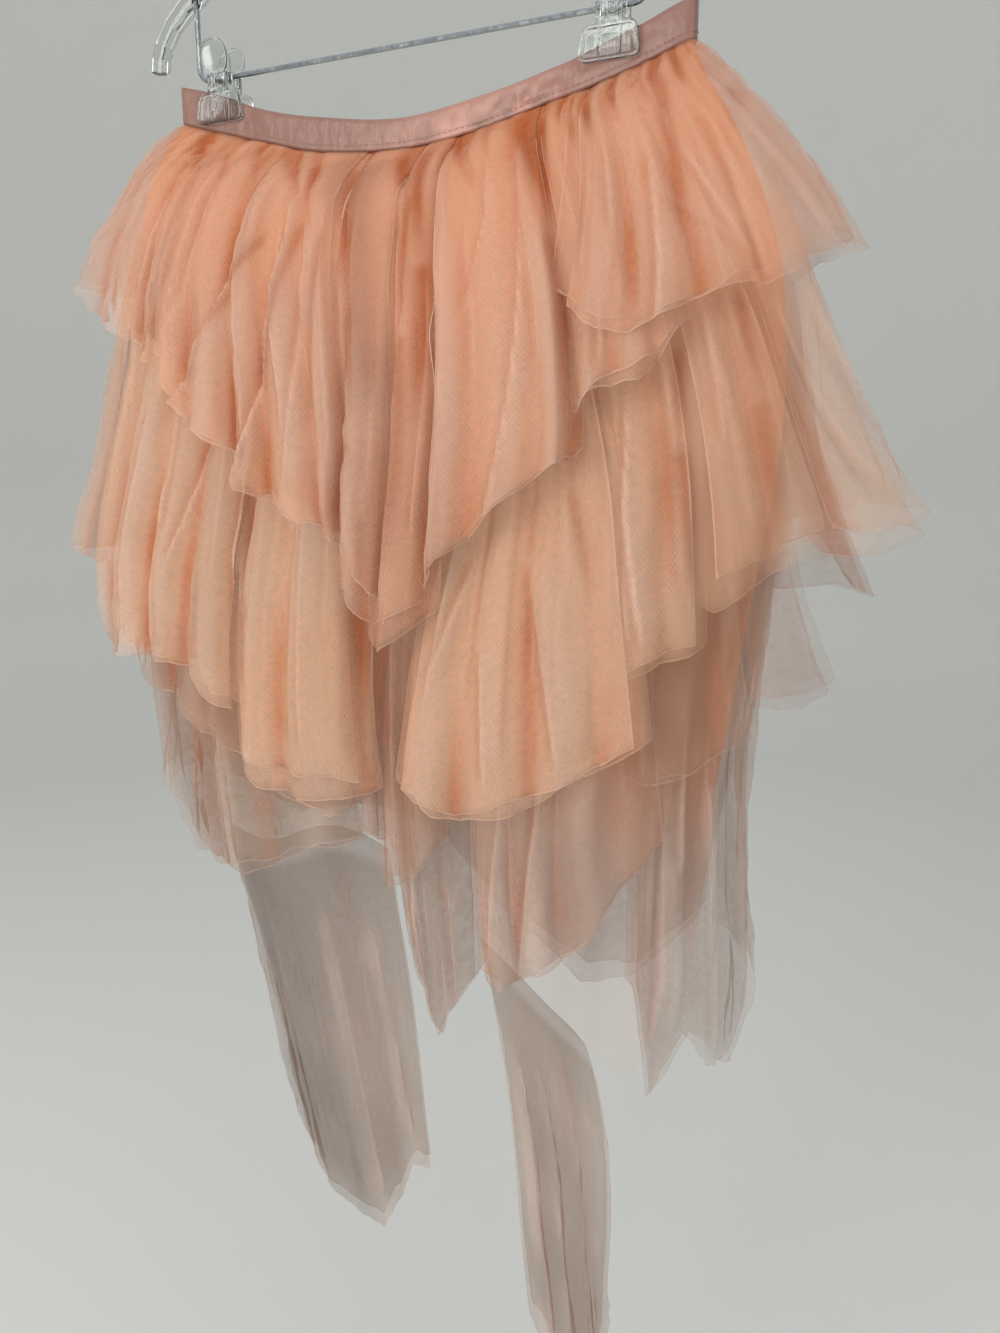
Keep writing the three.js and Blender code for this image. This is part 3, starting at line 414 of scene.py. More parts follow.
def curve(rows, at, column):
    """Value of a column at each place, on a smooth curve through the table's rows."""
    keys, values = rows[:, 0].astype(float), rows[:, column].astype(float)
    at = np.clip(at, keys[0], keys[-1])
    low = np.clip(np.searchsorted(keys, at, side="right") - 1, 0, len(keys) - 2)
    before, after = np.maximum(np.arange(len(keys)) - 1, 0), np.minimum(
        np.arange(len(keys)) + 1, len(keys) - 1)
    slopes = (values[after] - values[before]) / (keys[after] - keys[before])
    span = keys[low + 1] - keys[low]
    one = (at - keys[low]) / span
    two, three = one**2, one**3
    return (
        values[low] * (2 * three - 3 * two + 1) + values[low + 1] * (3 * two - 2 * three)
        + span * slopes[low] * (three - 2 * two + one) + span * slopes[low + 1] * (three - two))


def pinch(x, drop):
    """How far the clips press the cloth in, near the waistband."""
    away = np.clip((np.abs(np.abs(x) - CLIP_REACH) - PINCH_FLAT) / PINCH_REACH, 0, 1)
    return PINCH * (1 + np.cos(np.pi * away)) / 2 * np.exp(-drop / PINCH_FADE)


def body_point(angle, drop, lift):
    """Points on the skirt, in millimetres: lift is the distance outside the base tube."""
    side, front = np.sin(np.radians(angle)), np.cos(np.radians(angle))
    half_width, half_depth, centre_x, centre_y, power = (
        curve(BODY, drop, column) for column in range(1, 6))
    band_x = BAND_CENTRE + BAND_HALF * side
    across, along = half_depth * side, -half_width * front
    length = np.hypot(across, along)
    out = lift - pinch(band_x, drop)
    depth = half_depth * np.sign(front) * np.abs(front) ** power
    return np.stack([
        centre_x + half_width * side + across / length * out,
        centre_y - depth + along / length * out,
        curve(BAND_EDGES, band_x, 2) - drop - ROD_DROP], axis=-1)


def base_hem(angle):
    """Drop of the base tube's lower edge."""
    return curve(BASE_HEM, (angle + 180) % 360 - 180, 1)


def across_folds(folds, share, column):
    """Value of a column between folds, straight from one to the next; angles run on outside."""
    inside = np.interp(share * (len(folds) - 1), np.arange(len(folds)), folds[:, column])
    if column < 2:
        outside = np.minimum(share, 0) + np.maximum(share - 1, 0)
        inside = inside + outside * (folds[-1, column] - folds[0, column])
    return inside


def pleated(folds, share, column):
    """As across_folds, with round ridges and sharp valleys."""
    place = np.clip(share * (len(folds) - 1), 0, len(folds) - 1.000001)
    low = place.astype(int)
    part = place - low
    one, two = folds[low, column], folds[low + 1, column]
    rising = np.sin(np.pi / 2 * part)
    falling = 1 - np.sin(np.pi / 2 * (1 - part))
    return one + (two - one) * np.where(two > one, rising, falling)


def noise(rng, u, v, cell_u, cell_v):
    """Smooth noise from -1 to 1 over two lengths in millimetres."""
    u, v = u / cell_u + rng.uniform(0, 40), v / cell_v + rng.uniform(0, 40)
    size = 64
    knots = rng.uniform(-1, 1, (size, size))
    lu, lv = np.floor(u).astype(int), np.floor(v).astype(int)
    fu, fv = u - lu, v - lv
    fu, fv = fu * fu * (3 - 2 * fu), fv * fv * (3 - 2 * fv)
    a, b = knots[lu % size, lv % size], knots[(lu + 1) % size, lv % size]
    c, d = knots[lu % size, (lv + 1) % size], knots[(lu + 1) % size, (lv + 1) % size]
    return (a * (1 - fu) + b * fu) * (1 - fv) + (c * (1 - fu) + d * fu) * fv


def along_line(angle, depth, line):
    """Distance to the right of a line on the cloth and share of its length, in grid shape.

    The line runs from an angle and drop at its top to an angle and drop at its foot.
    """
    top_angle, top_drop, foot_angle, foot_drop = line
    middle = np.array([(top_angle + foot_angle) / 2])
    level = np.array([(top_drop + foot_drop) / 2])
    # Length of one degree on the cloth, 20 mm outside the base
    step = body_point(middle + 1, level, 20.0) - body_point(middle, level, 20.0)
    degree = max(np.linalg.norm(step), 0.8)
    across, down = (foot_angle - top_angle) * degree, foot_drop - top_drop
    length = np.hypot(across, down)
    x, y = (angle - top_angle) * degree, depth - top_drop
    return (x * down - y * across) / length, (x * across + y * down) / length**2, length


def crease_height(angle, depth, crease):
    """Height of a knife pleat, and how near its edge and the shadow beside the edge are.

    The pleat is sharp at its line and falls away to one side of it.
    """
    high, wide = crease[4:]
    right, share, length = along_line(angle, depth, crease[:4])
    right = right * np.sign(wide)
    wide = abs(wide)
    step = 0.5 + 0.5 * np.tanh(right / 0.8)
    height = high * (step * np.exp(-np.maximum(right, 0) / wide)
                     - 0.75 * (1 - step) * np.exp(np.minimum(right, 0) / (0.7 * wide)))
    begun, left = share * length / 16 + 0.4, (1 - share) * length / 16 + 0.4
    ends = np.clip(begun, 0, 1) * np.clip(left, 0, 1)
    ends = ends * ends * (3 - 2 * ends)
    strong = ends * min(high / 5, 1)
    # The edge gets a painted highlight, and the strip beside it a painted shadow
    edge = np.exp(-(((right - 0.8) / 1.1) ** 2)) * strong
    beside = np.exp(-(((right + 2.2) / 2.0) ** 2)) * strong
    return height * ends, edge, beside


def gather_depth(angle, depth, gather):
    """Depth of a gather: a groove that narrows from its seam to a point."""
    deep, half = gather[4:]
    right, share, _ = along_line(angle, depth, gather[:4])
    share = np.clip(share, 0, 1.15)
    half = half * (1 - 0.75 * np.minimum(share, 1)) + 0.4
    return deep * np.exp(-((np.abs(right) / half) ** 1.6)) * np.clip(1.15 - share, 0, 1) ** 0.7


def shade_near(angle, depth, shade):
    """How far a place lies within a shaded valley, from 0 to 1."""
    right, share, length = along_line(angle, depth, shade[:4])
    half = shade[4] + (shade[5] - shade[4]) * np.clip(share, 0, 1)
    begun, left = share * length / 10 + 0.5, (1 - share) * length / 45 + 0.2
    ends = np.clip(begun, 0, 1) * np.clip(left, 0, 1)
    return np.exp(-((right / half) ** 2)) * ends


def lines_across(rng, width, pitch, spread=0.35):
    """Places of folds across a width, a pitch apart with some unevenness."""
    count = max(int(width / pitch), 1)
    places = (np.arange(count) + 0.5) * width / count
    return places + rng.uniform(-spread, spread, count) * pitch


def object_from(name, points, faces, uv=None, values=None):
    """A smooth mesh object in metres from points in millimetres, with values at its points."""
    mesh = bpy.data.meshes.new(name)
    mesh.vertices.add(len(points))
    mesh.vertices.foreach_set("co", (points * MM).astype(np.float32).ravel())
    faces = np.asarray(faces, np.int32)
    mesh.loops.add(faces.size)
    mesh.loops.foreach_set("vertex_index", faces.ravel())
    mesh.polygons.add(len(faces))
    mesh.polygons.foreach_set("loop_start", np.arange(0, faces.size, 4, dtype=np.int32))
    mesh.polygons.foreach_set("use_smooth", np.ones(len(faces), bool))
    mesh.update()
    mesh.validate()
    if uv is not None:
        layer = mesh.uv_layers.new(name="cloth")
        layer.data.foreach_set("uv", (uv[faces.ravel()] * MM).astype(np.float32).ravel())
    for key, data in (values or {}).items():
        kind, field = ("FLOAT_COLOR", "color") if data.ndim == 2 else ("FLOAT", "value")
        attribute = mesh.attributes.new(key, kind, "POINT")
        attribute.data.foreach_set(field, data.astype(np.float32).ravel())
    made = bpy.data.objects.new(name, mesh)
    bpy.context.scene.collection.objects.link(made)
    return made


def grid_faces(columns, rows, closed=False):
    """Quads of a grid of points[column][row], facing outwards for columns that run right."""
    at = np.arange(columns * rows).reshape(columns, rows)
    if closed:
        at = np.vstack([at, at[:1]])
    a, b, c, d = at[:-1, :-1], at[:-1, 1:], at[1:, 1:], at[1:, :-1]
    return np.stack([a, b, c, d], axis=-1).reshape(-1, 4)


def thicken(piece, thickness, inner_finish=0):
    """Gives a sheet its thickness, half on each side, and says which finish its inside has."""
    wall = piece.modifiers.new("thickness", "SOLIDIFY")
    wall.thickness = thickness
    wall.offset = 0
    wall.use_even_offset = False
    wall.material_offset = inner_finish


def stand_in(piece, cad_node=None):
    """Fixes a finished piece to the body and in the place of its CAD node."""
    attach(piece, "root")
    if cad_node:
        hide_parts(cad_node)


def node(tree, kind, inputs=(), output=0, **settings):
    """Adds a node with its settings, and values or links on its inputs; gives an output."""
    made = tree.nodes.new("ShaderNode" + kind)
    for key, value in settings.items():
        setattr(made, key, value)
    for key, value in (inputs if isinstance(inputs, dict) else dict(enumerate(inputs))).items():
        if isinstance(value, bpy.types.NodeSocket):
            tree.links.new(value, made.inputs[key])
        else:
            made.inputs[key].default_value = value
    return made.outputs[output] if made.outputs else made


def blank(name):
    """A new material and its empty node tree."""
    material = bpy.data.materials.new(name)
    material.use_nodes = True
    material.node_tree.nodes.clear()
    return material, material.node_tree


def coat(tree, inputs):
    """Ends a material with a shader that has these inputs."""
    node(tree, "OutputMaterial", (node(tree, "BsdfPrincipled", inputs),))


def rgba(colour):
    """A colour with its alpha."""
    return (*tuple(colour)[:3], 1.0)


def scaled(colour, by):
    """A colour made darker, or lighter up to white."""
    return tuple(min(c * by, 1) for c in tuple(colour)[:3])


def net_material(name, colours, glow=0.07, blotch=1.0):
    """Nylon tulle, warp knitted: fine diamond net that is dull, sheer and soft.

    Its colour and how much it covers come with each piece, as values at its points. Its cut edge
    is a pale line. The light that plies pass on to each other is painted light: a faint glow in
    their colour, though the net is no lamp.
    """
    material, tree = blank(name)
    tint = node(tree, "Attribute", output="Color", attribute_name="tint")
    cover = node(tree, "Attribute", output="Fac", attribute_name="cover")
    rim = node(tree, "Attribute", output="Fac", attribute_name="rim")
    place = node(tree, "UVMap", uv_map="cloth")
    # Two plies of 1 mm net beat against each other in blotches 3 to 6 mm across
    beat = node(tree, "TexNoise", {"Vector": place, "Scale": 1 / 0.0045, "Detail": 1.0,
                                   "Roughness": 0.7}, "Fac", noise_dimensions="2D")
    # The mesh itself, 1 mm across, drawn at 2 mm so that it shows: two slanting sets of threads
    strands = []
    for slant in (35, -35):
        turned = node(tree, "Mapping", {"Vector": place,
                                        "Rotation": (0, 0, math.radians(slant))})
        strands.append(node(tree, "TexWave", {"Vector": turned,
                                              "Scale": math.pi / 10 / 0.002}, "Fac"))
    strand = node(tree, "Math", strands, operation="MAXIMUM")
    thread = node(tree, "MapRange", (strand, 0.75, 1.0, 0.94, 1.08))
    line = node(tree, "MapRange", (rim, 0.4, 1.3, 1.0, 0.0))
    warm = node(tree, "MapRange", (beat, 0.35, 0.65, 0.0, 0.1 * blotch))
    colour = node(tree, "Mix", {0: warm, 6: tint, 7: rgba(colours.deep)}, 2, data_type="RGBA")
    rolled = node(tree, "Math", (line, 0.5), operation="MULTIPLY")
    colour = node(tree, "Mix", {0: rolled, 6: colour, 7: rgba(colours.edge)}, 2,
                  data_type="RGBA")
    dense = node(tree, "MapRange", (beat, 0.3, 0.7, -0.11 * blotch, 0.11 * blotch))
    more = node(tree, "Math", (thread, dense), operation="ADD")
    doubled = node(tree, "Math", (line, 0.6), operation="MULTIPLY")
    more = node(tree, "Math", (more, doubled), operation="ADD")
    more = node(tree, "Math", (cover, more), operation="MULTIPLY")
    # Painted light: an emission glow in the cloth's own colour
    coat(tree, {
        "Base Color": colour, "Alpha": node(tree, "Clamp", (more, 0.0, 1.0)),
        "Emission Color": colour, "Emission Strength": glow, "Roughness": 0.9,
        "Specular IOR Level": 0.0})
    return material


def inner_face_material():
    """Inner face of nylon tulle: left clear, because the outer face carries a ply's cover."""
    name = "tulle_inner_face"
    if name in bpy.data.materials:
        return bpy.data.materials[name]
    material, tree = blank(name)
    coat(tree, {"Base Color": rgba(linear("#f5c3a4")), "Alpha": 0.0, "Roughness": 0.9})
    return material


def satin_material(colour):
    """Polyester satin over elastic, woven: floats 0.3 mm apart give a soft streaked gloss.

    Across the front, right of its centre, its colour is lighter in patches: a painted highlight.
    """
    material, tree = blank("satin_weave")
    place = node(tree, "UVMap", uv_map="cloth")
    # Floats are drawn 0.4 mm apart and 1.6 mm long, puckers 6 mm apart and 16 mm long
    weave = node(tree, "Mapping", {"Vector": place, "Scale": (1 / 0.0016, 1 / 0.0004, 1)})
    floats = node(tree, "TexNoise", {"Vector": weave, "Scale": 1.0, "Detail": 1.0}, "Fac",
                  noise_dimensions="2D")
    pucker = node(tree, "Mapping", {"Vector": place, "Scale": (1 / 0.006, 1 / 0.016, 1)})
    crease = node(tree, "TexNoise", {"Vector": pucker, "Scale": 1.0, "Detail": 2.0}, "Fac",
                  noise_dimensions="2D")
    # Painted highlight: where this value is high the colour is made up to twice as light
    pull_and_painted_highlight = node(tree, "Attribute", output="Fac", attribute_name="pull_and_painted_highlight")
    shade = rgba(colour)
    for share, light in (
        (node(tree, "MapRange", (floats, 0.35, 0.65, 0.0, 1.0)), 0.86),
        (node(tree, "MapRange", (crease, 0.3, 0.7, 0.0, 0.35)), 0.78),
        (pull_and_painted_highlight, 2.0),
    ):
        shade = node(tree, "Mix", {0: share, 6: shade, 7: rgba(scaled(colour, light))}, 2,
                     data_type="RGBA")
    bumps = node(tree, "Bump", {"Strength": 0.5, "Distance": 0.0012, "Height": crease})
    fine = node(tree, "Bump", {"Strength": 0.2, "Distance": 0.0002, "Height": floats,
                               "Normal": bumps})
    coat(tree, {
        "Base Color": shade, "Roughness": node(tree, "MapRange", (floats, 0.3, 0.7, 0.28, 0.42)),
        "Normal": fine, "Sheen Weight": 0.2, "Anisotropic": 0.5})
    return material


def thread_material(colour):
    """Polyester sewing thread, twisted: a dull round strand a shade lighter than the satin."""
    material, tree = blank("sewing_thread_twisted")
    place = node(tree, "TexCoord", output="Object")
    twist = node(tree, "TexWave", {"Vector": place, "Scale": 1 / 0.004, "Distortion": 1.0}, "Fac")
    shade = node(tree, "Mix", {0: twist, 6: rgba(scaled(colour, 1.7)),
                               7: rgba(scaled(colour, 1.3))}, 2, data_type="RGBA")
    coat(tree, {"Base Color": shade, "Roughness": 0.6})
    return material


def clear_material(name):
    """Injection-moulded polystyrene, polished: clear as glass, with faint flow marks."""
    material, tree = blank(name)
    place = node(tree, "TexCoord", output="Object")
    flow = node(tree, "TexNoise", {"Vector": place, "Scale": 1 / 0.018, "Detail": 2.0}, "Fac")
    bump = node(tree, "Bump", {"Strength": 0.12, "Distance": 0.001, "Height": flow})
    scuff = node(tree, "TexNoise", {"Vector": place, "Scale": 1 / 0.004, "Detail": 3.0}, "Fac")
    coat(tree, {
        "Base Color": rgba(linear("#eef1ef")), "Normal": bump, "Transmission Weight": 1.0,
        "Roughness": node(tree, "MapRange", (scuff, 0.5, 0.75, 0.04, 0.14)), "IOR": 1.5})
    return material


def steel_material(name):
    """Nickel-plated steel wire, drawn: bright, with fine marks along the wire."""
    material, tree = blank(name)
    place = node(tree, "TexCoord", output="Object")
    marks = node(tree, "TexNoise", {"Vector": place, "Scale": 1 / 0.003, "Detail": 3.0}, "Fac")
    shade = node(tree, "Mix", {0: marks, 6: rgba(linear("#8f969c")),
                               7: rgba(linear("#c9cdd0"))}, 2, data_type="RGBA")
    coat(tree, {
        "Base Color": shade, "Roughness": node(tree, "MapRange", (marks, 0.3, 0.7, 0.14, 0.3)),
        "Metallic": 1.0})
    return material


def studio_material(colour):
    """Emulsion paint, rolled: flat and matt with a faint orange peel."""
    material, tree = blank("emulsion_paint_rolled")
    place = node(tree, "TexCoord", output="Object")
    peel = node(tree, "TexNoise", {"Vector": place, "Scale": 1 / 0.004, "Detail": 1.0}, "Fac")
    bump = node(tree, "Bump", {"Strength": 0.05, "Distance": 0.001, "Height": peel})
    coat(tree, {"Base Color": rgba(colour), "Roughness": 0.9, "Normal": bump})
    return material


def blend(share, one, two):
    """Colours between two, for a share at each point."""
    share = np.asarray(share)[..., None]
    return one * (1 - share) + np.array(rgba(two)) * share


def net_values(colours, flat, deep, cover, surface):
    """Colour and cover of the net at each point.

    One ply lets what is behind it show; in a valley, on a steep side and below its seam the
    plies lie over each other, so it is dense there. Its colour is warm and dark there, partly
    from the plies and partly painted shade, and pale on a ridge and along pleat edges, a painted
    highlight; marked valleys take painted shade, and marked pleats a grey painted shade.
    """
    fold, seam, rim = surface["fold"], surface["seam"], surface["rim"]
    depth = np.clip((0.5 - fold) / 0.45, 0, 1)
    depth = np.maximum(depth, 0.35 * np.clip(1 - seam / 12, 0, 1))
    depth = np.maximum(depth, 0.3 * surface["steep"])
    # Painted shade: the deep colour in valleys, on steep sides and just below the seam
    tint = blend(depth, np.ones(depth.shape + (1,)) * np.array(rgba(flat)), deep)
    # Painted highlight on crests, then lighter clouds at random, then painted highlight on pleat
    # edges
    tint = blend(0.45 * np.clip((fold - 0.7) / 0.3, 0, 1), tint, colours.edge)
    tint = blend(0.2 * np.clip(surface["cloud"] + 0.4, 0, 1), tint, colours.edge)
    tint = blend(0.6 * surface["ridge"], tint, colours.edge)
    # Painted shade: grey on marked pleats, dark in marked valleys and beside pleat edges
    tint = blend(surface["painted_grey_shade"], tint, colours.grey)
    tint = blend(surface["valley"], tint, colours.shade)
    share = np.maximum(cover[0] + (cover[1] - cover[0]) * depth, 0.85 * surface["valley"])
    share = (share + 0.25 * surface["ridge"]) * (0.72 + 0.28 * np.clip(rim / 34, 0, 1))
    share = share * surface["soft"]
    return {"tint": tint.reshape(-1, 4), "cover": share.reshape(-1), "rim": rim.reshape(-1)}


# How each tier looks: how far its pleats are drawn, how far apart its random creases are, how
# much one ply covers where it is flat and where it is deep in a fold, how pale its folds stay,
# and how strong its blotches are
TierLook = namedtuple("TierLook", "gain pitch cover pale blotch")
TIER_LOOKS = {
    "top": TierLook(1.5, 17, (0.42, 0.8), 0.0, 1.0),
    "second": TierLook(1.35, 20, (0.42, 0.8), 0.05, 1.0),
    "third": TierLook(1.2, 18, (0.38, 0.7), 0.5, 1.0),
    "under": TierLook(1.2, 18, (0.45, 0.6), 0.7, 1.0),
    "tail": TierLook(0.7, 15, (0.46, 0.56), 0.85, 0.4),
}


def extra_creases(rng, folds, start, tier, width):
    """Creases between those of the table: denser where the table has none."""
    placed = [row for row in CREASES[tier] if folds[0][0] - 2 < row[0] < folds[-1][0] + 2]
    count = max(int(width / TIER_LOOKS[tier].pitch) - len(placed) // 2, 2)
    rows = []
    for place in (np.arange(count) + rng.uniform(0.2, 0.8, count)) / count:
        place = np.array([place])
        top, foot, drop = (across_folds(folds, place, column)[0] for column in range(3))
        begin, end = rng.uniform(0.03, 0.45), rng.uniform(0.6, 1.0)
        lean = (foot - top) * np.array([begin, end])
        rows.append((top + lean[0], start + (drop - start) * begin,
                     top + lean[1] + rng.uniform(-1.5, 1.5), start + (drop - start) * end,
                     rng.uniform(0.8, 2.6), rng.choice([-1, 1, 1]) * rng.uniform(4, 11)))
    return placed + rows


def net_grid(name, sizes, inner):
    """Grid of a panel in millimetres, with its cloth coordinates and surface values.

    The panel follows its own folds. Gathers, knife pleats, crumples and curled edges are
    added to its distance from the base, so that no column crosses another.
    """
    tier, above, free, folds = PANELS[name]
    folds = np.array(folds, float)
    rng = np.random.default_rng(1000 + 2 * list(PANELS).index(name) + inner)
    tail, column = tier == "tail", TIERS.index(tier) + 1
    coarse = np.linspace(0, 1, 60)
    level = np.full(60, folds[:, 2].max() * 0.9)
    hem_line = body_point(across_folds(folds, coarse, 1), across_folds(folds, coarse, 2) * 0.9,
                          curve(LIFTS, level, column))
    width = np.linalg.norm(np.diff(hem_line, axis=0), axis=1).sum()
    behind = abs((folds[:, 0].mean() + 180) % 360 - 180) > 100
    cell = sizes.cell / MM * (1.8 if inner else 1) * (1.5 if behind else 1)
    under = sizes.under_reach / MM / width if inner and not tail else 0.0
    left, right = (under * (0.45 if side in free else 1.0) for side in "LR")
    columns = max(int(width * (1 + left + right) / cell), 8) + 1
    share = np.linspace(-left, 1 + right, columns)
    held = np.clip(share, 0, 1)
    outside = np.clip(np.abs(share - held) * width, 0, 40)
    seam, hem = across_folds(folds, share, 0), across_folds(folds, share, 1)
    if inner:
        hem = hem + rng.uniform(-0.8, 0.8)
    start = base_hem(seam) + TAIL_SEAM if tail else np.full(columns, float(SEAMS[tier]))
    drop = across_folds(folds, held, 2) - 0.5 * outside
    if inner:
        drop = drop + sizes.ply_step / MM * rng.uniform(-0.6, 1.3)
    along = share * width
    drop = drop + 3.5 * noise(rng, along, 0 * along, 30, 1) + 1.6 * noise(
        rng, along, 0 * along, 8, 1)
    length = (drop - start).max()
    rows = max(int(length / (cell * 1.7)), 8) + 1
    down = np.linspace(0, 1, rows) ** 1.15
    share2, down2 = np.meshgrid(share, down, indexing="ij")
    depth = start[:, None] + (drop - start)[:, None] * down2
    below = depth - start[:, None]
    angle = seam[:, None] + (hem - seam)[:, None] * down2
    # Width of the panel at each depth: narrow at its gathered seam, full at its hem
    seam_line = body_point(seam, start + 1.0, np.zeros(columns))
    seam_width = np.linalg.norm(np.diff(seam_line, axis=0), axis=1).sum()
    wide = seam_width + (width - seam_width) * down2
    across = share2 * wide
    lift = curve(LIFTS, depth, column)
    out = pleated(folds, held, 3)
    mean = np.convolve(np.pad(out, columns // 4, mode="edge"), np.ones(columns // 4 * 2 + 1)
                       / (columns // 4 * 2 + 1), mode="valid")
    relief = ((out - mean) * TIER_LOOKS[tier].gain)[:, None] * down2**0.8
    # A panel that flares at its hem lies closer above it
    flare = np.clip((mean - 12) / 20, 0, 1)[:, None]
    lift = lift * (1 - 0.55 * flare * np.sin(np.pi * down2**1.3))
    lift = lift + mean[:, None] * down2 ** (1.2 + flare) + above * np.minimum(below / 16, 1)
    lift = lift + 2.5 * np.minimum(below / 3, 1) * np.exp(-((below / 40) ** 2))
    grown = np.clip(below / 22, 0, 1) * (0.35 + 0.65 * np.clip(below / 120, 0, 1))
    # Pleat edges get a painted highlight, the strip beside them a painted shadow
    ridge, shadow = np.zeros_like(below), np.zeros_like(below)
    for crease in extra_creases(rng, folds, start.mean(), tier, width):
        height, edge, beside = crease_height(angle, depth, crease)
        relief = relief + height * grown
        seen_by = grown * (0.4 if tail else 1.0)
        ridge, shadow = np.maximum(ridge, edge * seen_by), np.maximum(shadow, beside * seen_by)
    # Soft folds that fade and wander, then fine ones
    wander = 5 * noise(rng, across, below, 50, 80)
    for pitch, high in ((24, 1.5), (11, 0.6)):
        wave = noise(rng, share2 * width + wander, below, pitch, 150)
        relief = relief + high * (1 - 2 * np.abs(wave) ** 0.8) * grown
    # Puckers at the seam, and the deep gathers of the table
    pucker = sizes.pucker_depth / MM * (1.0 if tier == "top" else 0.6)
    for place in lines_across(rng, seam_width, sizes.pucker_pitch / MM, 0.45):
        reach = rng.uniform(6, 26) if rng.random() < 0.75 else rng.uniform(26, 70)
        away = np.abs(share2 - place / seam_width) * wide
        half = rng.uniform(1.1, 2.2) + 0.02 * below
        dip = np.exp(-((away / half) ** 1.4)) * np.minimum(below / 3, 1) * np.exp(
            -((below / reach) ** 1.6))
        relief = relief - pucker * rng.uniform(0.4, 1.2) * dip
    puffs = np.sin(across * 2 * np.pi / 16 + 3 * noise(rng, across, 0 * below, 30, 1))
    relief = relief + 1.3 * puffs * np.minimum(below / 8, 1) * np.exp(-((below / 45) ** 2))
    if tier == "top":
        for gather in GATHERS:
            relief = relief - gather_depth(angle, depth, gather)
    # Painted shade: dark in the table's valleys, grey on its marked pleats
    valley, painted_grey_shade = np.zeros_like(below), np.zeros_like(below)
    for shade in SHADES.get(tier, ()):
        near = shade_near(angle, depth, shade) * abs(shade[6])
        if shade[6] > 0:
            valley = np.maximum(valley, near)
        else:
            painted_grey_shade = np.maximum(painted_grey_shade, near)
    relief = relief - 3 * valley
    crumple = sizes.crumple / MM * (
        noise(rng, across, below, 16, 60) * 1.6 + noise(rng, across, below, 7, 13) * 0.6)
    relief = relief + crumple * np.minimum(below / 15, 1)
    lift = lift + relief
    # Cut edges curl, the hem most
    to_hem = drop[:, None] - depth
    sides = [(share2 - share[0]) * wide if "L" in free else 1e3,
             (share[-1] - share2) * wide if "R" in free else 1e3]
    to_side = np.minimum(np.minimum(*sides) + np.maximum(25 - below, 0) * 0.5, 1e3)
    curl = sizes.hem_curl / MM
    hem_wave = noise(rng, along, 0 * along, 20, 1) + 0.6 * noise(rng, along, 0 * along, 7, 1)
    lift = lift + curl * hem_wave[:, None] * np.clip(1 - to_hem / 12, 0, 1) ** 2
    lift = lift + curl * 0.8 * noise(rng, 0 * below, below, 1, 30) * np.clip(
        1 - to_side / 8, 0, 1) ** 2
    if inner:
        lift = lift - 2.4 - 1.8 * down2 - np.minimum(outside, 12)[:, None] * 0.4 * down2
    floor = 0.9 + 0.6 * (not inner)
    lift = np.where(lift < floor + 2, floor + 2 * np.exp((lift - floor - 2) / 2), lift)
    if tail:
        lift = lift * np.minimum(below / 30, 1)
    points = body_point(angle, depth, lift)
    step = np.linalg.norm(np.gradient(points, axis=0), axis=2)
    slope = np.abs(np.gradient(lift, axis=0)) / np.maximum(step, 0.2)
    seen = [np.clip(share2 * wide / 9, 0, 1) if "L" not in free else 1,
            np.clip((1 - share2) * wide / 9, 0, 1) if "R" not in free else 1]
    if inner:
        seen = [np.clip(1 - outside / (sizes.under_reach / MM), 0, 1)[:, None], 1]
    # Sheer where only one or two plies hang free: the sides, and the tails below their seam
    if not tail:
        seen.append(1 - 0.45 * np.clip((np.abs((angle + 180) % 360 - 180) - 45) / 30, 0, 1))
    if tier != "top":
        seen.append(np.clip(below / (25 if tail else 40), 0.6 if tail else 0, 1))
    relief_soft = relief.copy()
    for _ in range(3):
        relief_soft[1:-1] = (relief_soft[:-2] + relief_soft[1:-1] * 2 + relief_soft[2:]) / 4
    # For the colour: valley and the grey shade carry painted shade, ridge a painted highlight
    values = {
        "fold": np.clip(0.5 + relief_soft / 9, 0, 1),
        "steep": np.clip(slope * 1.3 - 0.35, 0, 1),
        "rim": np.minimum(to_hem, to_side),
        "soft": math.prod(seen) * np.ones_like(below),
        "seam": below,
        "valley": np.maximum(valley, 0.45 * shadow),
        "ridge": ridge,
        "painted_grey_shade": painted_grey_shade,
        "cloud": noise(rng, across, below, 50, 50),
    }
    cloth = np.stack([share2 * width, below], axis=-1)
    return points, cloth, values


def net_wall(piece, materials):
    """Gives a sheet of net its two finishes and its wall."""
    for material in materials:
        piece.data.materials.append(material)
    thicken(piece, NET_WALL * MM, inner_finish=1)


def net_piece(name, sizes, materials, look, inner=False):
    """One ply of a panel, standing for its solid."""
    points, cloth, values = net_grid(name, sizes, inner)
    columns, rows = points.shape[:2]
    piece = object_from(
        name + ("_inner_ply" if inner else "_net"), points.reshape(-1, 3),
        grid_faces(columns, rows), cloth.reshape(-1, 2), net_values(*look, values))
    net_wall(piece, materials)
    stand_in(piece, None if inner else name)


def box(centre, size):
    """A new box at its size and place, left active."""
    bpy.ops.mesh.primitive_cube_add(size=1, location=[value * MM for value in centre])
    bpy.ops.transform.resize(value=[value * MM for value in size])
    bpy.ops.object.transform_apply(location=True, rotation=True, scale=True)
    return bpy.context.object


def pick(part, kind, test):
    """Enters edit mode with the vertices, edges or faces that pass the test selected."""
    bpy.ops.object.mode_set(mode="EDIT")
    bpy.ops.mesh.select_mode(type=kind)
    bpy.ops.mesh.select_all(action="DESELECT")
    bpy.ops.object.mode_set(mode="OBJECT")
    places = [vertex.co / MM for vertex in part.data.vertices]
    items = {"VERT": part.data.vertices, "EDGE": part.data.edges, "FACE": part.data.polygons}
    for item in items[kind]:
        corners = [places[item.index]] if kind == "VERT" else [places[i] for i in item.vertices]
        item.select = test(corners)
    bpy.ops.object.mode_set(mode="EDIT")


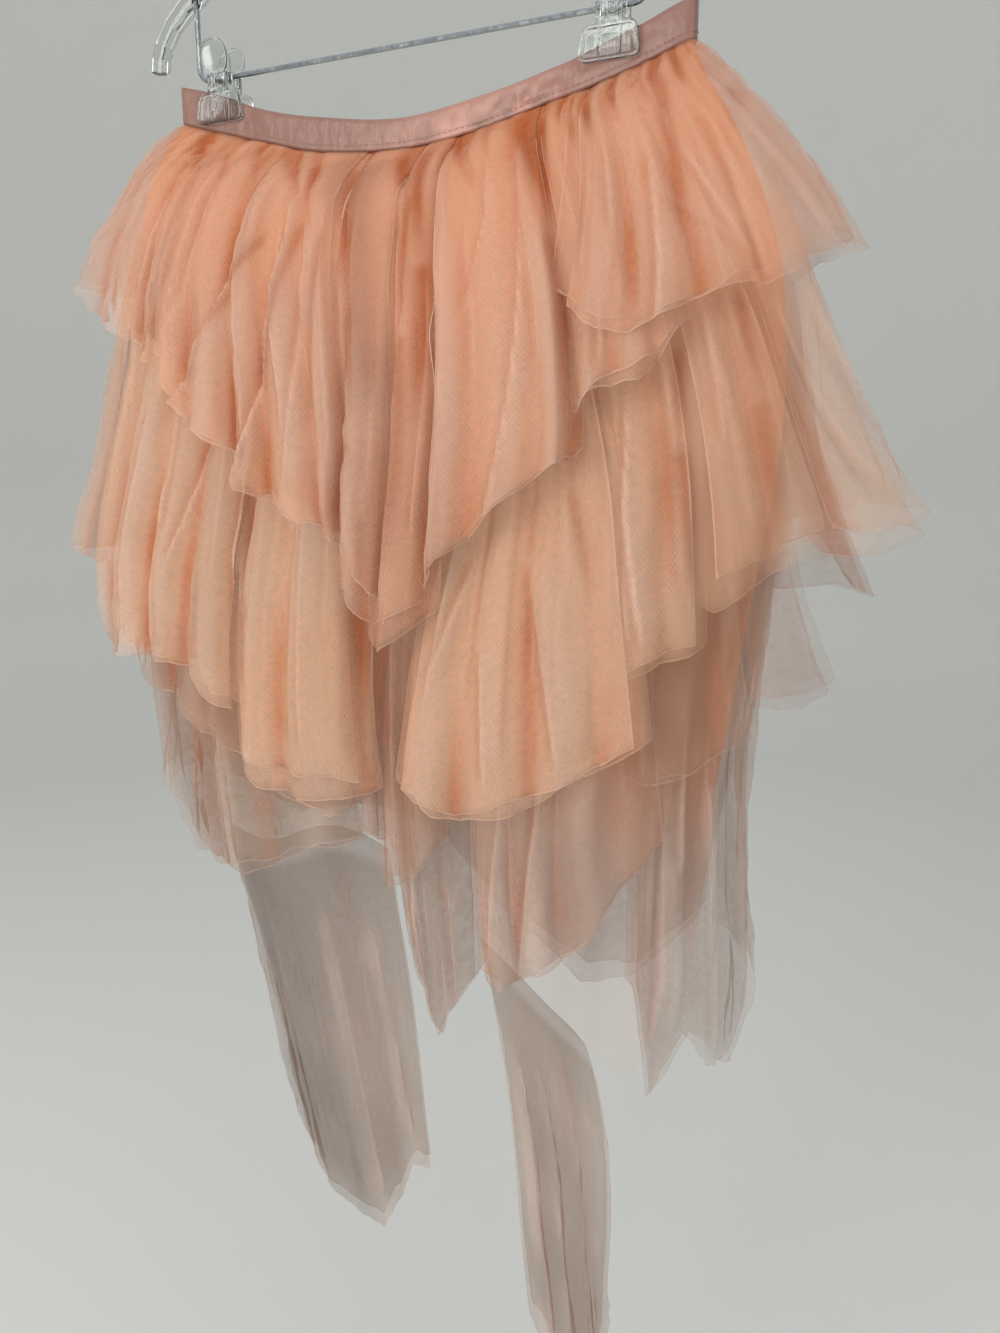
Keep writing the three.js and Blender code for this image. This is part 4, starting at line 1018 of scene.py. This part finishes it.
def united(parts):
    """Joins solids into the first one and rounds its edges a little."""
    body = parts[0]
    bpy.ops.object.select_all(action="DESELECT")
    bpy.context.view_layer.objects.active = body
    body.select_set(True)
    for other in parts[1:]:
        bpy.ops.object.modifier_add(type="BOOLEAN")
        join = body.modifiers[-1]
        join.operation, join.solver, join.object = "UNION", "EXACT", other
        bpy.ops.object.modifier_apply(modifier=join.name)
        bpy.data.objects.remove(other)
    bpy.ops.object.modifier_add(type="BEVEL")
    rounding = body.modifiers[-1]
    rounding.width, rounding.segments, rounding.limit_method = 0.0003, 2, "ANGLE"
    rounding.angle_limit = math.radians(40)
    bpy.ops.object.modifier_apply(modifier=rounding.name)
    bpy.ops.object.shade_smooth_by_angle(angle=math.radians(35))
    return body


def grip_pad(x, face):
    """The pad that holds the band: a trapezoid with a thick rim and ribs in its face."""
    middle = face + CLIP_THICK / 2
    pad = box((x, middle, -19.5), (CLIP_PAD, CLIP_THICK, 19))
    pick(pad, "VERT", lambda at: at[0].z > -15)
    bpy.ops.transform.resize(value=(0.84, 1, 1), center_override=(x * MM, 0, 0))
    pick(pad, "EDGE", lambda at: abs(at[0].x - at[1].x) < 0.1 and abs(at[0].z - at[1].z) < 0.1)
    bpy.ops.mesh.bevel(offset=0.0048, segments=5, affect="EDGES")
    pick(pad, "FACE", lambda at: all(abs(corner.y - face) < 0.01 for corner in at))
    bpy.ops.mesh.inset(thickness=0.0021, depth=0)
    bpy.ops.mesh.inset(thickness=0.0003, depth=-0.0013)
    bpy.ops.object.mode_set(mode="OBJECT")
    ribs = [box((x + place, middle + 0.2, -19.5), (1.1, CLIP_THICK - 0.6, 14.8))
            for place in (-6.4, 6.4)]
    teeth = [box((x + place, middle + 0.55, -21.5), (0.5, CLIP_THICK - 1.3, 9.6))
             for place in (-12, -10, -4, -2, 0, 2, 4, 10, 12)]
    return [pad, *ribs, *teeth]


def clip_half(name, x, facing, finish):
    """Half a clip: its pad, and a rounded handle with a raised rim that leans off the rod."""
    inside = BAND_DEPTH + 1.8 - PINCH
    face = -inside - CLIP_THICK
    parts = grip_pad(x, face)
    bpy.ops.mesh.primitive_cylinder_add(
        vertices=40, radius=0.0107, depth=CLIP_THICK * MM, rotation=(math.pi / 2, 0, 0),
        location=(x * MM, (face + CLIP_THICK / 2) * MM, 0.0095))
    bpy.ops.object.transform_apply(location=True, rotation=True, scale=True)
    lobe = bpy.context.object
    pick(lobe, "VERT", lambda at: at[0].z > 9.5)
    bpy.ops.transform.translate(value=(0, 0, 0.0015))
    pick(lobe, "FACE", lambda at: all(abs(corner.y - face) < 0.01 for corner in at))
    bpy.ops.mesh.inset(thickness=0.0016, depth=0)
    bpy.ops.mesh.inset(thickness=0.0003, depth=-0.0009)
    bpy.ops.object.mode_set(mode="OBJECT")
    bpy.ops.transform.rotate(value=-math.radians(CLIP_LEAN_DEGREES), orient_axis="X",
                             center_override=(x * MM, face * MM, -0.004))
    bpy.ops.object.transform_apply(location=True, rotation=True, scale=True)
    if min(corner.co.y for corner in lobe.data.vertices) > face * MM - 0.002:
        raise RuntimeError("the handle leans the wrong way")
    neck = box((x, face + CLIP_THICK / 2 - 0.1, -5.2), (15.5, CLIP_THICK - 0.3, 12.5))
    bars = [box((x + side * 5.2, face + 0.55, -4.0), (1.1, 1.1, 15.5)) for side in (-1, 1)]
    lugs = [box((x + side * 7, -(inside + 2.0) / 2 - 0.2, -2.3), (2.6, inside - 1.6, 7))
            for side in (-1, 1)]
    body = united([*parts, lobe, neck, *bars, *lugs])
    if facing > 0:
        bpy.ops.transform.rotate(value=math.pi, orient_axis="Z",
                                 center_override=(x * MM, 0, 0))
    bpy.ops.transform.translate(value=(0, 0, -ROD_DROP * MM))
    bpy.ops.object.transform_apply(location=True, rotation=True, scale=True)
    body.name = body.data.name = name + "_moulded"
    body.data.materials.append(finish)
    stand_in(body, name)


def clip_spring(name, x, finish):
    """The clip's spring: wire wound round the rod, with one leg up to a stub."""
    rod = -ROD_DROP
    bpy.ops.mesh.primitive_circle_add(
        vertices=10, radius=0.00055, fill_type="NGON", rotation=(math.pi / 2, 0, 0),
        location=((x - 2.6) * MM, 0, (rod + 3.0) * MM))
    bpy.ops.object.transform_apply(location=True, rotation=True, scale=True)
    wire = bpy.context.object
    bpy.ops.object.mode_set(mode="EDIT")
    bpy.ops.mesh.select_all(action="SELECT")
    steps = 57
    turn = -math.radians(3 * 360 + 270) / steps
    for _ in range(steps):
        bpy.ops.mesh.extrude_region_move(
            TRANSFORM_OT_translate={"value": (5.2 * MM / steps, 0, 0)})
        bpy.ops.transform.rotate(value=turn, orient_axis="X",
                                 center_override=(x * MM, 0, rod * MM))
    for move in ((0, 0, 0.006), (0, 0.0004, 0.005), (0, 0.0004, 0.003), (-0.0012, 0, 0.001),
                 (-0.003, 0, 0)):
        bpy.ops.mesh.extrude_region_move(TRANSFORM_OT_translate={"value": move})
    bpy.ops.object.mode_set(mode="OBJECT")
    bpy.ops.object.shade_smooth_by_angle(angle=math.radians(50))
    wire.name = wire.data.name = name + "_wire"
    wire.data.materials.append(finish)
    stand_in(wire, name)


def base_piece(materials, look):
    """The base tube: one closed tube of dense net."""
    rng = np.random.default_rng(7)
    columns, rows = 240, 84
    angle = -180 + 360 * np.arange(columns) / columns
    angle2, down = np.meshgrid(angle, np.linspace(0, 1, rows), indexing="ij")
    hem = base_hem(angle2) + 2.5 * np.sin(np.radians(angle2 * 17)) * down
    depth = TOP_SEAM + (hem - TOP_SEAM) * down**1.3
    ramp_in = np.clip((depth - 210) / 150, 0, 1) ** 2
    relief = 3 * ramp_in * np.sin(np.radians(angle2 * 9))
    gathers = 0.5 * np.sin(np.radians(angle2 * 48)) * np.minimum(depth / 12, 1) * np.exp(
        -((depth / 90) ** 2))
    small = 0.3 * np.sin(np.radians(angle2 * 31 + depth * 0.8)) * down
    points = body_point(angle2, depth, relief + gathers + small)
    around = 2 * (BAND_HALF * 2 + 20)
    cloth = np.stack([(angle2 + 180) / 360 * around, depth], axis=-1)
    values = dict.fromkeys(("valley", "ridge", "painted_grey_shade", "cloud"), 0 * depth)
    values.update({
        "fold": np.clip(0.4 + relief / 12 + small / 2, 0, 1),
        "steep": np.abs(np.gradient(gathers, axis=0)),
        "rim": np.maximum(hem - depth, 2),
        "soft": np.clip(np.minimum(hem - depth, 470 - depth) / 110, 0.1, 1),
        "seam": depth,
    })
    piece = object_from(
        "base_tube_net", points.reshape(-1, 3), grid_faces(columns, rows, True),
        cloth.reshape(-1, 2), net_values(*look, values))
    net_wall(piece, materials)
    stand_in(piece, "base_tube")


def band_grid():
    """Points round the waistband from its top edge to its bottom edge, in millimetres."""
    columns, rows = 520, 15
    turn = np.radians(-180 + 360 * np.arange(columns) / columns)
    x = BAND_CENTRE + BAND_HALF * np.sin(turn)
    front = np.cos(turn)
    depth = (BAND_DEPTH - pinch(x, 0)) * np.sign(front) * np.abs(front) ** 0.3
    top, bottom = curve(BAND_EDGES, x, 1), curve(BAND_EDGES, x, 2)
    share = np.linspace(0, 1, rows)
    rng = np.random.default_rng(5)
    step = np.hypot(np.diff(x, append=x[:1]), np.diff(depth, append=depth[:1]))
    arc = np.concatenate([[0], np.cumsum(step)[:-1]])
    arc2, share2 = np.meshgrid(arc, share, indexing="ij")
    high = share2 * BAND_HIGH
    # The stretched elastic puckers the satin near the stitch line
    pull_and_painted_highlight = np.exp(-(((x[:, None] - 92) / 38) ** 2)) * (front[:, None] > 0) * share2
    pucker = (0.35 + 1.0 * pull_and_painted_highlight) * noise(rng, arc2, high, 5, 9) * np.sin(np.pi * share2)
    roll = -0.5 * (np.clip(1 - share2 * 9, 0, 1) + np.clip(share2 * 9 - 8, 0, 1)) ** 2
    stitch = -0.35 * np.exp(-(((share2 - 0.8) / 0.05) ** 2))
    out = pucker + roll + stitch + 0.3
    side = np.sign(front)[:, None]
    y = -depth[:, None] - side * out * np.minimum(np.abs(front)[:, None] * 4, 1)
    z = top[:, None] + (bottom - top)[:, None] * share2 - ROD_DROP
    points = np.stack([np.broadcast_to(x[:, None], y.shape), y, z], axis=-1)
    # Painted highlight: across the front, right of centre, the satin's colour is made lighter in
    # patches
    painted_highlight = np.exp(-(((x - 55) / 62) ** 2)) * (front > 0)
    highlight_patches = np.clip(0.55 + 0.8 * noise(rng, arc2, high, 6, 9) * share2, 0, 1)
    return points, arc2, high, painted_highlight[:, None] * highlight_patches


def band_piece(material, thread):
    """The waistband, and the row of stitches above its lower edge."""
    points, arc, high, painted_highlight = band_grid()
    columns, rows = points.shape[:2]
    cloth = np.stack([arc, high], axis=-1)
    piece = object_from("waistband_satin", points.reshape(-1, 3),
                        grid_faces(columns, rows, True), cloth.reshape(-1, 2),
                        {"pull_and_painted_highlight": painted_highlight.reshape(-1)})
    piece.data.materials.append(material)
    thicken(piece, SATIN_WALL * MM)
    stand_in(piece, "waistband")
    # The stitches are short threads, a quarter of the way up
    line = points[:, 11]
    normal = np.cross(points[:, 12] - points[:, 10], np.roll(line, -1, 0) - np.roll(line, 1, 0))
    normal /= np.linalg.norm(normal, axis=1)[:, None]
    length = np.linalg.norm(np.diff(line, axis=0, append=line[:1]), axis=1)
    arc_line = np.concatenate([[0], np.cumsum(length)])
    verts, faces = [], []
    closed_line, closed_normal = np.vstack([line, line[:1]]), np.vstack([normal, normal[:1]])
    up = np.array([0, 0, 1.0])
    for begin in np.arange(1, arc_line[-1] - STITCH_PITCH, STITCH_PITCH):
        ends = np.linspace(begin, begin + STITCH_LENGTH, 5)
        middle = np.stack([np.interp(ends, arc_line, closed_line[:, k]) for k in range(3)], -1)
        away = np.stack([np.interp(ends, arc_line, closed_normal[:, k]) for k in range(3)], -1)
        rise = np.sin(np.linspace(0, np.pi, 5)) * 0.35
        middle = middle + away * (1.0 + rise)[:, None]
        first = len(verts)
        for place, outward in zip(middle, away):
            for turn in np.radians((45, 135, 225, 315)):
                verts.append(place + 0.26 * (np.cos(turn) * outward + np.sin(turn) * up))
        for ring in range(4):
            for side in range(4):
                a, b = first + ring * 4 + side, first + ring * 4 + (side + 1) % 4
                faces.append((a, b, b + 4, a + 4))
        faces.append((first, first + 3, first + 2, first + 1))
        faces.append(tuple(first + 16 + k for k in range(4)))
    stitches = object_from("waistband_stitches", np.array(verts), faces)
    stitches.data.materials.append(thread)
    stand_in(stitches)


def settings():
    """The sizes and colours that the user sees."""
    return bpy.context.scene.skirt_sizes, bpy.context.scene.skirt_colours


class SKIRT_OT_net_tier(bpy.types.Operator):
    """Builds the panels of one tier, each with its inner ply"""

    bl_idname = "skirt.net_tier"
    bl_label = "Net tier"

    tier: bpy.props.EnumProperty(
        name="Tier", description="Tier of panels to build",
        items=[(tier, tier.title(), "The panels of this tier") for tier in TIERS])

    def execute(self, context):
        sizes, colours = settings()
        tier, flat = TIER_LOOKS[self.tier], getattr(colours, self.tier)
        deep = tuple(a + (b - a) * tier.pale for a, b in zip(colours.deep, flat))
        look = colours, flat, deep, tier.cover
        materials = (net_material(f"nylon_tulle_{self.tier}", colours, blotch=tier.blotch),
                     inner_face_material())
        for name, panel in PANELS.items():
            if panel.tier == self.tier:
                net_piece(name, sizes, materials, look)
                net_piece(name, sizes, materials, look, inner=True)
        return {"FINISHED"}


class SKIRT_OT_base_tube(bpy.types.Operator):
    """Builds the dense inner tube of net"""

    bl_idname = "skirt.base_tube"
    bl_label = "Base tube"

    def execute(self, context):
        colours = settings()[1]
        # Painted light: the base tube glows more, at 0.3, for light passed on inside the skirt,
        # and its folds take the deep colour made darker, a painted shade
        materials = net_material("nylon_tulle_base", colours, glow=0.3), inner_face_material()
        deep = scaled(colours.deep, 0.8)
        # So dense that its shadow is taken as whole
        materials[0].use_transparent_shadow = False
        base_piece(materials, (colours, colours.base, deep, (0.75, 0.94)))
        return {"FINISHED"}


class SKIRT_OT_waistband(bpy.types.Operator):
    """Builds the satin waistband and its stitches"""

    bl_idname = "skirt.waistband"
    bl_label = "Waistband"

    def execute(self, context):
        colours = settings()[1]
        band_piece(satin_material(colours.satin), thread_material(colours.satin))
        return {"FINISHED"}


class SKIRT_OT_clips(bpy.types.Operator):
    """Models the two clips: four moulded halves and two wire springs"""

    bl_idname = "skirt.clips"
    bl_label = "Clips"

    def execute(self, context):
        clear, steel = clear_material("polystyrene_clip_moulded"), steel_material("spring_wire")
        for side, x in (("left", -CLIP_REACH), ("right", CLIP_REACH)):
            clip_half(f"clip_{side}_front_jaw", x, -1, clear)
            clip_half(f"clip_{side}_back_jaw", x, 1, clear)
            clip_spring(f"clip_{side}_spring", x, steel)
        return {"FINISHED"}


class SKIRT_OT_hanger(bpy.types.Operator):
    """Gives the hanger, its rod and its hook their finishes"""

    bl_idname = "skirt.hanger"
    bl_label = "Hanger"

    def execute(self, context):
        clear = clear_material("polystyrene_arm_moulded")
        steel = steel_material("wire_nickel_plated")
        for name, finish in (("hook", steel), ("clip_rod", steel), ("hanger_body", clear)):
            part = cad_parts[name]
            part.data.materials.clear()
            part.data.materials.append(finish)
        return {"FINISHED"}


class SKIRT_OT_stage(bpy.types.Operator):
    """Builds the studio, its lights and the camera"""

    bl_idname = "skirt.stage"
    bl_label = "Stage"

    def execute(self, context):
        colours = settings()[1]
        sides = STUDIO_SIDES
        verts, faces = [], []
        for radius, height in STUDIO:
            for side in range(sides):
                turn = 2 * math.pi * side / sides
                verts.append((radius * math.cos(turn), radius * math.sin(turn),
                              height + FLOOR_HEIGHT))
        for ring in range(len(STUDIO) - 1):
            for side in range(sides):
                a, b = ring * sides + side, ring * sides + (side + 1) % sides
                faces.append((a, a + sides, b + sides, b))
        mesh = bpy.data.meshes.new("studio")
        mesh.from_pydata(verts, [], faces + [tuple(range(sides))])
        mesh.polygons.foreach_set("use_smooth", [True] * len(mesh.polygons))
        studio = bpy.data.objects.new("studio", mesh)
        bpy.context.scene.collection.objects.link(studio)
        mesh.materials.append(studio_material(colours.studio))
        for name, place, aim, size, power, tone in (
            ("key", (-0.7, -2.1, 0.0), (0.05, 0, -0.6), 1.3, 28, (1, 0.98, 0.95)),
            ("top", (0.5, -0.5, 1.7), (0.05, 0, -0.5), 1.4, 8, (1, 0.98, 0.95)),
            ("side", (1.7, -1.6, 0.0), (0.05, 0, -0.6), 1.5, 9, (0.95, 0.97, 1)),
        ):
            lamp = bpy.data.lights.new(name, "AREA")
            lamp.energy, lamp.size, lamp.color = power, size, tone
            light = bpy.data.objects.new(name, lamp)
            light.location = place
            light.rotation_mode = "QUATERNION"
            light.rotation_quaternion = (Vector(aim) - Vector(place)).to_track_quat("-Z", "Y")
            light.visible_camera = False
            light.visible_transmission = name != "top"
            bpy.context.scene.collection.objects.link(light)
        world = bpy.data.worlds.new("soft_grey")
        world.use_nodes = True
        backdrop = world.node_tree.nodes["Background"]
        backdrop.inputs["Color"].default_value = (0.93, 0.96, 1.0, 1)
        backdrop.inputs["Strength"].default_value = 0.69
        context.scene.world = world
        context.scene.view_settings.view_transform = "Standard"
        context.scene.cycles.transparent_max_bounces = 32
        context.scene.cycles.diffuse_bounces = 1
        camera = bpy.data.cameras.new("camera")
        camera.sensor_width, camera.sensor_fit = 36, "AUTO"
        camera.lens = 36 * FOCAL_PIXELS / PHOTO_PIXELS
        shot = bpy.data.objects.new("camera", camera)
        shot.location = CAMERA_PLACE
        turn, tilt = math.radians(CAMERA_TURN), math.radians(CAMERA_TILT)
        ahead = Vector((-math.sin(turn) * math.cos(tilt), math.cos(turn) * math.cos(tilt),
                        -math.sin(tilt)))
        shot.rotation_mode = "QUATERNION"
        shot.rotation_quaternion = ahead.to_track_quat("-Z", "Y")
        bpy.context.scene.collection.objects.link(shot)
        bpy.context.scene.camera = shot
        return {"FINISHED"}


class SKIRT_PT_panel(bpy.types.Panel):
    """Lists the pieces of the skirt"""

    bl_idname = "SKIRT_PT_panel"
    bl_label = "Net skirt"
    bl_space_type = "VIEW_3D"
    bl_region_type = "UI"
    bl_category = "Skirt"

    def draw(self, context):
        for group in (context.scene.skirt_sizes, context.scene.skirt_colours):
            for key in group.bl_rna.properties.keys():
                if key not in ("rna_type", "name"):
                    self.layout.prop(group, key)
        for tier in TIERS:
            self.layout.operator("skirt.net_tier", text=tier.title() + " tier").tier = tier
        for piece in ("base_tube", "waistband", "clips", "hanger", "stage"):
            self.layout.operator("skirt." + piece)


CLASSES = (SkirtSizes, SkirtColours, SKIRT_OT_net_tier, SKIRT_OT_base_tube, SKIRT_OT_waistband,
           SKIRT_OT_clips, SKIRT_OT_hanger, SKIRT_OT_stage, SKIRT_PT_panel)


def register():
    """Makes the sizes, colours and steps known to Blender."""
    for item in CLASSES:
        bpy.utils.register_class(item)
    bpy.types.Scene.skirt_sizes = bpy.props.PointerProperty(type=SkirtSizes)
    bpy.types.Scene.skirt_colours = bpy.props.PointerProperty(type=SkirtColours)


def unregister():
    """Takes back what register made known."""
    del bpy.types.Scene.skirt_sizes, bpy.types.Scene.skirt_colours
    for item in reversed(CLASSES):
        bpy.utils.unregister_class(item)


def main():
    """Builds all in order."""
    register()
    bpy.ops.skirt.stage()
    bpy.ops.skirt.hanger()
    bpy.ops.skirt.clips()
    bpy.ops.skirt.base_tube()
    for tier in TIERS:
        bpy.ops.skirt.net_tier(tier=tier)
    bpy.ops.skirt.waistband()


if __name__ == "__main__":
    main()
